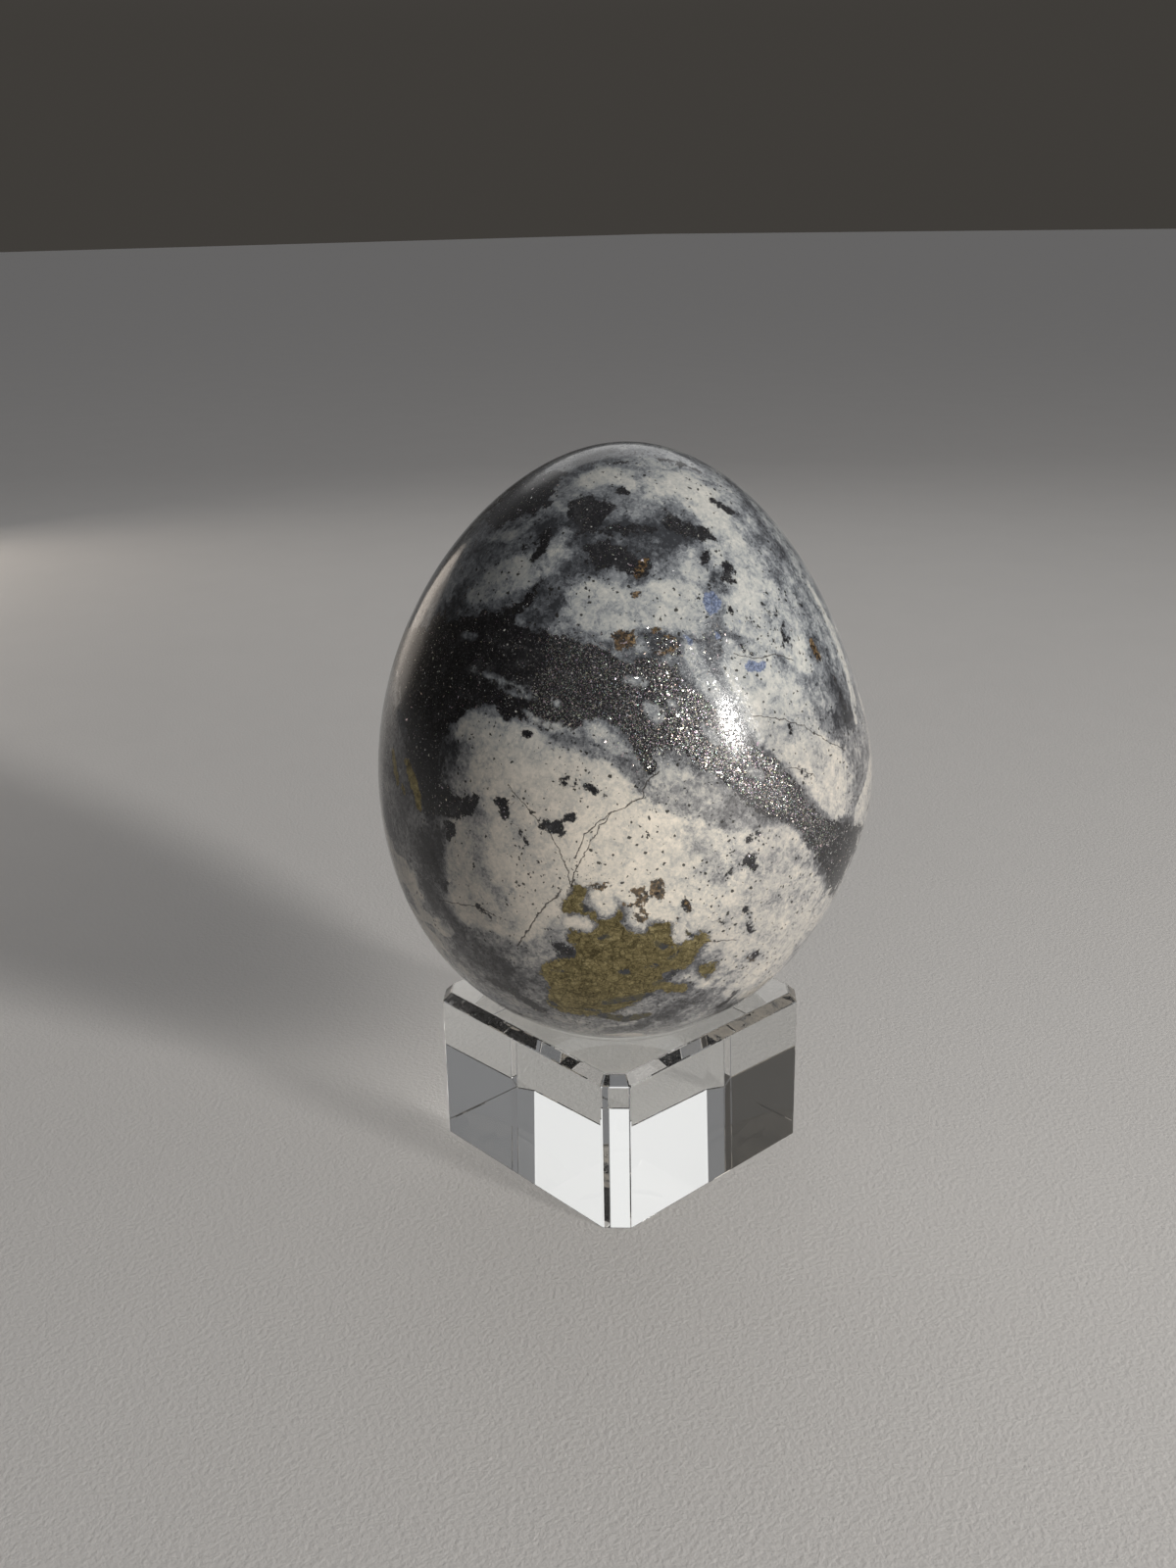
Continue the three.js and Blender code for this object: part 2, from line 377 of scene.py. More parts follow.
@dataclass(frozen=True)
class HiddenField:
    """Patches that a slow noise lays over the other sides, wherever it is above a threshold.

    The wave is in millimetres, and the flatness squeezes the patches in height. A second noise with
    shorter waves swirls the first. Each octave's waves are shorter by the fineness and weaker by the
    fall.
    """

    wave: float
    offset: Triple
    threshold: float
    flatness: float = 1.0
    swirl: float = 0.5
    swirl_rate: float = 1.7
    fall: float = 0.9
    fineness: float = 2.1
    octaves: float = 4.0

    def reach(self, points: np.ndarray) -> np.ndarray:
        """Gives the rough distance to the nearest patch's edge, negative inside it.

        Args:
            points: The points in millimetres, one to a row.

        Returns:
            The distances in millimetres.
        """
        squeeze = np.array([1.0, 1.0, self.flatness]) / self.wave
        value = np.array([self.strength(Vector(place)) for place in points * squeeze])
        return (self.threshold - value) * self.wave

    def strength(self, place: Vector) -> float:
        """Gives the swirled noise at a place whose units are waves.

        Args:
            place: The place.

        Returns:
            The noise's value.
        """
        moved = place + Vector(self.offset)
        swirled = moved + noise.noise_vector(moved * self.swirl_rate) * self.swirl
        return noise.fractal(swirled, self.fall, self.fineness, self.octaves)


HIDDEN_FIELDS: dict[Mineral, tuple[HiddenField, ...]] = {
    Mineral.CHARCOAL: (
        HiddenField(15.0, (2.3, 7.1, 4.4), 0.36, flatness=1.6),
        HiddenField(5.0, (8.2, 1.6, 3.7), 0.56, flatness=1.3),
    ),
    Mineral.CREAM: (HiddenField(14.0, (5.9, 3.3, 9.2), -0.02, flatness=1.2),),
    Mineral.SMOKE: (HiddenField(9.0, (1.4, 6.6, 2.9), 0.20, flatness=1.3),),
}

# Hairline cracks on the shown side, by photograph pixel, with the half width of the line in millimetres.
CRACKS: tuple[tuple[float, tuple[tuple[float, float], ...]], ...] = (
    (0.055, ((672, 787), (660, 799), (656, 813), (640, 822), (620, 831), (597, 852), (586, 876))),
    (0.05, ((624, 829), (612, 844), (597, 869), (586, 890), (583, 905))),
    (0.045, ((518, 801), (549, 837), (562, 852), (576, 879), (583, 905))),
    (0.075, ((572, 909), (553, 928), (541, 946), (528, 965))),
    (0.05, ((446, 917), (466, 922), (489, 925), (506, 935))),
    (0.04, ((768, 731), (791, 732), (820, 741), (843, 755), (862, 766))),
    (0.035, ((793, 784), (815, 784), (832, 792))),
    (0.045, ((749, 667), (772, 673), (791, 667), (809, 674))),
    (0.04, ((717, 961), (752, 959))),
)


@dataclass(frozen=True)
class PhotoCamera:
    """The camera that took the photograph, found from the stand's corners and edges.

    Lengths are in millimetres in the part's frame, and angles in degrees. Only the clips are in metres.
    """

    width_px: int = 1200
    height_px: int = 1600
    focal_px: float = 1600.0
    sensor_mm: float = 36.0
    place: Triple = (114.3, -108.5, 98.8)
    heading: float = 137.6
    down_tilt: float = 19.78
    roll: float = 1.11
    near_clip: float = 0.005
    far_clip: float = 20.0

    def axes(self) -> tuple[Vector, Vector, Vector]:
        """Works out which way the picture's right, its top and the lens point.

        Returns:
            The directions of the picture's right and top, and the direction of view.
        """
        heading, tilt, roll = (math.radians(a) for a in (self.heading, self.down_tilt, self.roll))
        level = Vector((math.cos(heading), math.sin(heading), 0.0))
        right = level.cross(Vector((0.0, 0.0, 1.0)))
        ahead = level * math.cos(tilt) - Vector((0.0, 0.0, math.sin(tilt)))
        top = right.cross(ahead)
        turned_right = right * math.cos(roll) - top * math.sin(roll)
        turned_top = right * math.sin(roll) + top * math.cos(roll)
        return turned_right, turned_top, ahead

    def ray(self, across: float, down: float) -> Vector:
        """Gives the direction in which the camera sees a pixel.

        Args:
            across: The pixel's column in the photograph.
            down: The pixel's row in the photograph.

        Returns:
            A unit vector in the part's frame.
        """
        right, top, ahead = self.axes()
        aside, above = across - self.width_px / 2, self.height_px / 2 - down
        return (ahead * self.focal_px + right * aside + top * above).normalized()

    def project(self, points: np.ndarray) -> tuple[np.ndarray, np.ndarray]:
        """Finds where the camera sees points.

        Args:
            points: The points in millimetres, one to a row.

        Returns:
            Their pixels, one to a row, and their depths in millimetres.
        """
        right, top, ahead = (np.array(axis) for axis in self.axes())
        offset = points - np.array(self.place)
        depth = offset @ ahead
        across = self.width_px / 2 + self.focal_px * (offset @ right) / depth
        down = self.height_px / 2 - self.focal_px * (offset @ top) / depth
        return np.stack([across, down], axis=1), depth

    def set_up(self) -> bpy.types.Object:
        """Makes the scene's camera.

        Returns:
            The camera object.
        """
        data = bpy.data.cameras.new("photo_camera")
        data.sensor_width = self.sensor_mm
        data.lens = self.focal_px / self.height_px * self.sensor_mm
        data.clip_start = self.near_clip
        data.clip_end = self.far_clip
        camera = bpy.data.objects.new("photo_camera", data)
        right, top, ahead = self.axes()
        turn = Matrix((right, top, -ahead)).transposed().to_4x4()
        camera.matrix_world = Matrix.Translation(Vector(self.place) * MM) @ turn
        bpy.context.scene.collection.objects.link(camera)
        bpy.context.scene.camera = camera
        return camera


class Graph:
    """Adds nodes to one node tree and joins them up."""

    def __init__(self, tree: bpy.types.NodeTree) -> None:
        """Keeps the tree that the nodes go into."""
        self.tree = tree

    def node(self, kind: str, **settings: object) -> bpy.types.Node:
        """Adds a node.

        Args:
            kind: Blender's name for the kind of node.
            **settings: Properties of the node and their values.

        Returns:
            The new node.
        """
        made = self.tree.nodes.new(kind)
        for name, value in settings.items():
            setattr(made, name, value)
        return made

    def feed(self, socket: Socket, value: object) -> None:
        """Joins a socket to an output, or sets its value where it gets a plain one.

        Args:
            socket: The input socket.
            value: An output socket, or a number, vector or colour.
        """
        if isinstance(value, bpy.types.NodeSocket):
            self.tree.links.new(value, socket)
        else:
            socket.default_value = value

    def math(self, operation: str, first: object, second: object = 0.0, third: object = 0.0) -> Socket:
        """Adds a Math node.

        Args:
            operation: What the node does.
            first: Its first number.
            second: Its second number, where it takes one.
            third: Its third number, where it takes one.

        Returns:
            The result.
        """
        made = self.node("ShaderNodeMath", operation=operation)
        for socket, value in zip(made.inputs, (first, second, third)):
            self.feed(socket, value)
        return made.outputs[0]

    def vector(self, operation: str, first: object, second: object = (0.0, 0.0, 0.0), scale: object = 1.0,
               output: str = "Vector") -> Socket:
        """Adds a Vector Math node.

        Args:
            operation: What the node does.
            first: Its first vector.
            second: Its second vector, where it takes one.
            scale: The factor, where it scales.
            output: Whether the vector or the value is wanted.

        Returns:
            The result.
        """
        made = self.node("ShaderNodeVectorMath", operation=operation)
        self.feed(made.inputs[0], first)
        if operation == "SCALE":
            self.feed(made.inputs["Scale"], scale)
        elif operation not in ("NORMALIZE", "LENGTH"):
            self.feed(made.inputs[1], second)
        return made.outputs[output]

    def noise(self, place: Socket, scale: object, detail: float = 4.0, roughness: float = 0.55,
              output: str = "Fac") -> Socket:
        """Adds a Noise Texture.

        Args:
            place: Where the noise is read, in millimetres.
            scale: Its bumps to the millimetre.
            detail: Its octaves.
            roughness: How strong the finer octaves are.
            output: Whether the value or the colour is wanted.

        Returns:
            The noise.
        """
        made = self.node("ShaderNodeTexNoise")
        self.feed(made.inputs["Vector"], place)
        self.feed(made.inputs["Scale"], scale)
        self.feed(made.inputs["Detail"], detail)
        self.feed(made.inputs["Roughness"], roughness)
        return made.outputs[output]

    def cells(self, place: Socket, scale: object, feature: str = "F1") -> bpy.types.Node:
        """Adds a Voronoi Texture.

        Args:
            place: Where the cells are read, in millimetres.
            scale: Their number to the millimetre.
            feature: What is measured of them.

        Returns:
            The node.
        """
        made = self.node("ShaderNodeTexVoronoi", feature=feature)
        self.feed(made.inputs["Vector"], place)
        self.feed(made.inputs["Scale"], scale)
        return made

    def step(self, value: Socket, low: object, high: object) -> Socket:
        """Rises smoothly from 0 to 1.

        Args:
            value: The value that is followed.
            low: Where the rise starts.
            high: Where the rise ends.

        Returns:
            The rise.
        """
        made = self.node("ShaderNodeMapRange", interpolation_type="SMOOTHSTEP")
        self.feed(made.inputs["Value"], value)
        self.feed(made.inputs["From Min"], low)
        self.feed(made.inputs["From Max"], high)
        return made.outputs["Result"]

    def fall(self, value: Socket, low: object, high: object) -> Socket:
        """Falls smoothly from 1 where the value is at low to 0 where it is at high."""
        return self.math("SUBTRACT", 1.0, self.step(value, low, high))

    def ramp(self, value: Socket, stops: Ramp) -> Socket:
        """Adds a Color Ramp.

        Args:
            value: The value that is followed.
            stops: The colours, each with the value where it stands.

        Returns:
            The colour.
        """
        made = self.node("ShaderNodeValToRGB")
        marks = made.color_ramp.elements
        while len(marks) < len(stops):
            marks.new(1.0)
        for mark, (position, colour) in zip(marks, stops):
            mark.position = position
            mark.color = (*colour, 1.0)
        self.feed(made.inputs["Fac"], value)
        return made.outputs["Color"]

    def blend(self, amount: object, first: object, second: object, mode: str = "MIX") -> Socket:
        """Adds a Mix node for colours.

        Args:
            amount: How much the second colour counts, from 0 to 1.
            first: The first colour.
            second: The second colour.
            mode: How the two are mixed.

        Returns:
            The colour.
        """
        made = self.node("ShaderNodeMix", data_type="RGBA", blend_type=mode)
        self.feed(made.inputs["Factor"], amount)
        for title, value in (("A", first), ("B", second)):
            self.feed(made.inputs[title], (*value, 1.0) if isinstance(value, tuple) else value)
        return made.outputs["Result"]

    def lerp(self, amount: object, first: object, second: object) -> Socket:
        """Goes from one number to another.

        Args:
            amount: How far it has gone, from 0 to 1.
            first: The number at 0.
            second: The number at 1.

        Returns:
            The number between them.
        """
        made = self.node("ShaderNodeMix", data_type="FLOAT")
        self.feed(made.inputs["Factor"], amount)
        self.feed(made.inputs["A"], first)
        self.feed(made.inputs["B"], second)
        return made.outputs["Result"]

    def place(self) -> Socket:
        """Gives the point that is shaded, in millimetres."""
        return self.vector("SCALE", self.node("ShaderNodeTexCoord").outputs["Object"], scale=PER_METRE)

    def reach(self, mineral: Mineral) -> Socket:
        """Gives the distance in millimetres to a mineral's edge, which is negative inside it."""
        return self.node("ShaderNodeAttribute", attribute_name=mineral.value).outputs["Fac"]

    def effect(self, group: bpy.types.NodeTree, **values: object) -> bpy.types.Node:
        """Places a shared effect.

        Args:
            group: The effect's node group.
            **values: Its inputs by name, with spaces written as underscores.

        Returns:
            The group node.
        """
        made = self.node("ShaderNodeGroup", node_tree=group)
        for name, value in values.items():
            self.feed(made.inputs[name.replace("_", " ")], value)
        return made


class EffectKit:
    """The effects that the stone's finish uses again and again, each built once as a node group.

    The edge swing is how strongly the noise moves a deposit's edge. The smallest grain is added to a
    random size, and a grain fades outside its core, a share of its size. A stretch of a crack shows
    within the crack reach, in millimetres, and fades between its core and its fringe, in half widths of
    the crack. The tints of crystal faces are read a shift away from their tilts, so that the two have
    nothing to do with each other.
    """

    edge_swing: float = 4.0
    smallest_grain: float = 0.35
    grain_core: float = 0.75
    tint_shift: Triple = (3.1, 1.7, 5.3)
    crack_core: float = 0.5
    crack_fringe: float = 1.6
    crack_reach: float = 8.0

    def __init__(self) -> None:
        """Builds every group."""
        self.ragged_edge = self.build_ragged_edge()
        self.speckle = self.build_speckle()
        self.glitter = self.build_glitter()
        self.crack = self.build_crack()

    @staticmethod
    def start(
        name: str, inputs: dict[str, tuple[str, object]], outputs: dict[str, str],
    ) -> tuple[Graph, dict[str, Socket], dict[str, Socket]]:
        """Makes an empty group with its sockets.

        Args:
            name: The group's name.
            inputs: The kind of socket and the default value of each input.
            outputs: The kind of socket of each output.

        Returns:
            The graph to build in, the inputs to read by name, and the outputs to feed by name.
        """
        tree = bpy.data.node_groups.new(name, "ShaderNodeTree")
        for title, (kind, value) in inputs.items():
            socket = tree.interface.new_socket(title, in_out="INPUT", socket_type=kind)
            if value is not None:
                socket.default_value = value
        for title, kind in outputs.items():
            tree.interface.new_socket(title, in_out="OUTPUT", socket_type=kind)
        entry = tree.nodes.new("NodeGroupInput")
        leave = tree.nodes.new("NodeGroupOutput")
        return Graph(tree), {s.name: s for s in entry.outputs}, {s.name: s for s in leave.inputs}

    def build_ragged_edge(self) -> bpy.types.NodeTree:
        """Builds a mask for a deposit whose smooth edge is broken up by noise.

        Returns:
            A group that takes the distance to the edge and gives the mask.
        """
        graph, given, made = self.start(
            "ragged_edge",
            {"Reach": ("NodeSocketFloat", 0.0), "Place": ("NodeSocketVector", None),
             "Grain": ("NodeSocketFloat", 1.0), "Raggedness": ("NodeSocketFloat", 0.5),
             "Softness": ("NodeSocketFloat", 0.1)},
            {"Mask": "NodeSocketFloat"},
        )
        bumps = graph.noise(given["Place"], given["Grain"], detail=8.0, roughness=0.66)
        throw = graph.math("MULTIPLY", given["Raggedness"], self.edge_swing)
        swing = graph.math("MULTIPLY", graph.math("SUBTRACT", bumps, 0.5), throw)
        edge = graph.math("ADD", given["Reach"], swing)
        inner = graph.math("MULTIPLY", given["Softness"], -1.0)
        graph.feed(made["Mask"], graph.fall(edge, inner, given["Softness"]))
        return graph.tree

    def build_speckle(self) -> bpy.types.NodeTree:
        """Builds scattered grains of uneven outline.

        Returns:
            A group that gives the grains' mask.
        """
        graph, given, made = self.start(
            "speckle",
            {"Place": ("NodeSocketVector", None), "Scale": ("NodeSocketFloat", 1.0),
             "Share": ("NodeSocketFloat", 0.1), "Size": ("NodeSocketFloat", 0.3)},
            {"Mask": "NodeSocketFloat"},
        )
        wobble = graph.noise(given["Place"], graph.math("MULTIPLY", given["Scale"], 4.0), detail=3.0)
        cell = graph.cells(given["Place"], given["Scale"])
        split = graph.node("ShaderNodeSeparateColor")
        graph.feed(split.inputs["Color"], cell.outputs["Color"])
        chosen = graph.math("LESS_THAN", split.outputs["Red"], given["Share"])
        size = graph.math("MULTIPLY", given["Size"],
                          graph.math("ADD", split.outputs["Green"], self.smallest_grain))
        uneven = graph.math("ADD", cell.outputs["Distance"],
                            graph.math("MULTIPLY", graph.math("SUBTRACT", wobble, 0.5), given["Size"]))
        inside = graph.fall(uneven, graph.math("MULTIPLY", size, self.grain_core), size)
        graph.feed(made["Mask"], graph.math("MULTIPLY", chosen, inside))
        return graph.tree

    def build_glitter(self) -> bpy.types.NodeTree:
        """Builds tiny crystal faces that each lie at their own tilt.

        Returns:
            A group that gives the faces' mask, a random value and tint to each face, and their normals.
        """
        graph, given, made = self.start(
            "glitter",
            {"Place": ("NodeSocketVector", None), "Scale": ("NodeSocketFloat", 5.0),
             "Share": ("NodeSocketFloat", 0.2), "Tilt": ("NodeSocketFloat", 0.4)},
            {"Mask": "NodeSocketFloat", "Chance": "NodeSocketFloat", "Tint": "NodeSocketColor",
             "Normal": "NodeSocketVector"},
        )
        cell = graph.cells(given["Place"], given["Scale"])
        split = graph.node("ShaderNodeSeparateColor")
        graph.feed(split.inputs["Color"], cell.outputs["Color"])
        chosen = graph.math("LESS_THAN", split.outputs["Red"], given["Share"])
        dice = graph.node("ShaderNodeTexWhiteNoise", noise_dimensions="3D")
        graph.feed(dice.inputs["Vector"], cell.outputs["Position"])
        lean = graph.vector("SCALE", graph.vector("SUBTRACT", dice.outputs["Color"], (0.5, 0.5, 0.5)),
                            scale=given["Tilt"])
        normal = graph.node("ShaderNodeNewGeometry").outputs["Normal"]
        tilted = graph.vector("NORMALIZE", graph.vector("ADD", normal, lean))
        graph.feed(made["Mask"], chosen)
        graph.feed(made["Chance"], split.outputs["Green"])
        hue = graph.vector("ADD", cell.outputs["Position"], self.tint_shift)
        paint = graph.node("ShaderNodeTexWhiteNoise", noise_dimensions="3D")
        graph.feed(paint.inputs["Vector"], hue)
        graph.feed(made["Tint"], paint.outputs["Color"])
        graph.feed(made["Normal"], tilted)
        return graph.tree

    def build_crack(self) -> bpy.types.NodeTree:
        """Builds one straight stretch of a crack, which is a thin sheet that goes into the stone.

        Returns:
            A group that gives the crack's mask.
        """
        graph, given, made = self.start(
            "crack",
            {"Place": ("NodeSocketVector", None), "Middle": ("NodeSocketVector", None),
             "Along": ("NodeSocketVector", None), "Across": ("NodeSocketVector", None),
             "Half Length": ("NodeSocketFloat", 1.0), "Half Width": ("NodeSocketFloat", 0.05),
             "Before": ("NodeSocketFloat", 0.0)},
            {"Mask": "NodeSocketFloat"},
        )
        offset = graph.vector("SUBTRACT", given["Place"], given["Middle"])
        side = graph.vector("DOT_PRODUCT", offset, given["Across"], output="Value")
        run = graph.math("ABSOLUTE", graph.vector("DOT_PRODUCT", offset, given["Along"], output="Value"))
        beyond = graph.math("MAXIMUM", graph.math("SUBTRACT", run, given["Half Length"]), 0.0)
        gap = graph.math("SQRT", graph.math("ADD", graph.math("POWER", graph.math("ABSOLUTE", side), 2.0),
                                            graph.math("POWER", beyond, 2.0)))
        line = graph.fall(gap, graph.math("MULTIPLY", given["Half Width"], self.crack_core),
                          graph.math("MULTIPLY", given["Half Width"], self.crack_fringe))
        near = graph.math("LESS_THAN", graph.vector("LENGTH", offset, output="Value"), self.crack_reach)
        graph.feed(made["Mask"], graph.math("MAXIMUM", given["Before"], graph.math("MULTIPLY", line, near)))
        return graph.tree


def new_material(name: str) -> tuple[bpy.types.Material, Graph, bpy.types.Node]:
    """Makes a material.

    Args:
        name: The material's name.

    Returns:
        The material, a graph of its nodes and its Principled shader.
    """
    material = bpy.data.materials.new(name)
    material.use_nodes = True
    shader = next(n for n in material.node_tree.nodes if n.type == "BSDF_PRINCIPLED")
    return material, Graph(material.node_tree), shader


@dataclass(frozen=True)
class CrackStretch:
    """One straight stretch of a crack: where it lies, which way it runs and how wide it is.

    The three vectors are its middle, the way it runs on the surface and the way across it. Lengths are in
    millimetres.
    """

    middle: Vector
    along: Vector
    across: Vector
    half_length: float
    half_width: float


@dataclass(frozen=True)
class EdgeLook:
    """How noise breaks up a deposit's edge.

    The grain is in bumps to the millimetre. The raggedness and the softness are in millimetres.
    """

    grain: float
    raggedness: float
    softness: float


@dataclass(frozen=True)
class Scatter:
    """Grains of one size.

    The scale is in cells to the millimetre, the share is that of the cells which hold a grain, and the
    size is a grain's half width in cells.
    """

    scale: float
    share: float
    size: float
    paint: Colour = (0.0, 0.0, 0.0)


@dataclass(frozen=True)
class CrystalFaces:
    """Crystal faces of one size.

    The scale is in cells to the millimetre, the tilt is how far a face may lean, and the last two are the
    shares of the cells that hold one in the sparkling zone and in the charcoal.
    """

    scale: float
    tilt: float
    in_zone: float
    in_soot: float


@dataclass(frozen=True)
class PaintedSideShade:
    """A side of the quartz that is painted darker as shade, by its direction.

    Its tone changes from none, where the surface faces it as squarely as the low value says, to the whole
    depth at the high value.
    """

    direction: Triple
    low: float
    high: float
    depth: float


EDGE_LOOKS: dict[Mineral, EdgeLook] = {
    Mineral.CREAM: EdgeLook(0.8, 0.62, 0.45),
    Mineral.SMOKE: EdgeLook(0.6, 1.0, 0.9),
    Mineral.CHARCOAL: EdgeLook(1.1, 0.75, 0.13),
    Mineral.SPARKLE: EdgeLook(0.8, 0.8, 0.8),
    Mineral.BRASS: EdgeLook(1.7, 0.40, 0.05),
    Mineral.RUST: EdgeLook(2.2, 0.36, 0.07),
    Mineral.AZURE: EdgeLook(2.2, 0.20, 0.06),
    Mineral.INCLUSION: EdgeLook(2.2, 0.34, 0.09),
    Mineral.ISLAND: EdgeLook(1.4, 0.40, 0.26),
}


class StoneCanvas:
    """The stone's graph, with the point on the surface in millimetres and copies of it shaken by noise."""

    def __init__(self, graph: Graph, effects: EffectKit) -> None:
        """Makes the point and its copies, from the slowest drift to the quickest.

        Args:
            graph: The material's graph.
            effects: The shared effects.
        """
        self.graph = graph
        self.effects = effects
        self.place = graph.place()
        self.rock = self.shaken(0.22, detail=3.0, throw=4.5)
        self.torn = self.shaken(1.1, detail=5.0, throw=1.5)
        self.split = self.shaken(2.6, detail=3.0, throw=0.5)

    def shaken(self, scale: float, detail: float, throw: float, roughness: float = 0.55) -> Socket:
        """Moves the point about by a noise.

        Args:
            scale: The noise's bumps to the millimetre.
            detail: The noise's octaves.
            throw: How far the point may move, in millimetres.
            roughness: How strong the finer octaves are.

        Returns:
            The moved point.
        """
        g = self.graph
        bumps = g.noise(self.place, scale, detail=detail, roughness=roughness, output="Color")
        swing = g.vector("SUBTRACT", bumps, (0.5, 0.5, 0.5))
        return g.vector("ADD", self.place, g.vector("SCALE", swing, scale=throw))

    def mask(self, mineral: Mineral, place: Socket | None = None) -> Socket:
        """Gives a mineral's mask, with its edge broken up at the point or at a shaken copy of it."""
        where = self.place if place is None else place
        return self.ragged(self.graph.reach(mineral), EDGE_LOOKS[mineral], where)

    def ragged(self, reach: Socket, look: EdgeLook, place: Socket) -> Socket:
        """Gives the mask of what lies inside an edge, once noise has broken the edge up.

        Args:
            reach: The distance to the edge, in millimetres.
            look: How the edge is broken up.
            place: The point at which the noise is read.

        Returns:
            The mask.
        """
        return self.graph.effect(
            self.effects.ragged_edge, Reach=reach, Place=place, Grain=look.grain,
            Raggedness=look.raggedness, Softness=look.softness,
        ).outputs["Mask"]

    def grains(self, scatter: Scatter, place: Socket, share: object) -> Socket:
        """Scatters grains of one size.

        Args:
            scatter: The grains.
            place: The point at which their cells are read.
            share: The share of the cells that hold one.

        Returns:
            The grains' mask.
        """
        return self.graph.effect(
            self.effects.speckle, Place=place, Scale=scatter.scale, Share=share, Size=scatter.size,
        ).outputs["Mask"]

    def faces(self, look: CrystalFaces, place: Socket, zone: Socket, charcoal: Socket) -> bpy.types.Node:
        """Scatters crystal faces of one size.

        Args:
            look: The faces.
            place: The point at which their cells are read.
            zone: The mask of the sparkling zone.
            charcoal: The charcoal's mask.

        Returns:
            The node that gives their mask, values, tints and normals.
        """
        g = self.graph
        share = g.math("MULTIPLY_ADD", zone, look.in_zone, g.math("MULTIPLY", charcoal, look.in_soot))
        return g.effect(self.effects.glitter, Place=place, Scale=look.scale, Tilt=look.tilt, Share=share)

    def joints(self, place: Socket, scale: float, width: float) -> Socket:
        """Gives the mask of the thin lines between crystals of a number to the millimetre."""
        edge = self.graph.cells(place, scale, feature="DISTANCE_TO_EDGE").outputs["Distance"]
        return self.graph.fall(edge, 0.0, width)

    def crystals(self, place: Socket, scale: float, channel: str = "Blue") -> Socket:
        """Gives each crystal a value of its own from 0 to 1.

        Args:
            place: The point at which the crystals are read.
            scale: Their number to the millimetre.
            channel: Which of a crystal's random values is wanted.

        Returns:
            The value.
        """
        split = self.graph.node("ShaderNodeSeparateColor")
        self.graph.feed(split.inputs["Color"], self.graph.cells(place, scale).outputs["Color"])
        return split.outputs[channel]


@dataclass(frozen=True)
class StoneLayers:
    """What the stone's colour, metal, gloss and relief have in common, which is mostly masks from 0 to 1.

    The brass is what shows of the brassy patch between its inclusions. The worn value wanders slowly, and
    the polished one splits the sparkling zone into polished and matt spots. The dust is tiny crystal
    faces and the glint larger ones, with their masks small and large, and the flakes are the dust in the
    charcoal.
    """

    charcoal: Socket
    patch: Socket
    inclusion: Socket
    brass: Socket
    specks: Socket
    cracks: Socket
    worn: Socket
    polished: Socket
    zone: Socket
    dust: bpy.types.Node
    glint: bpy.types.Node
    small: Socket
    large: Socket
    flake: Socket


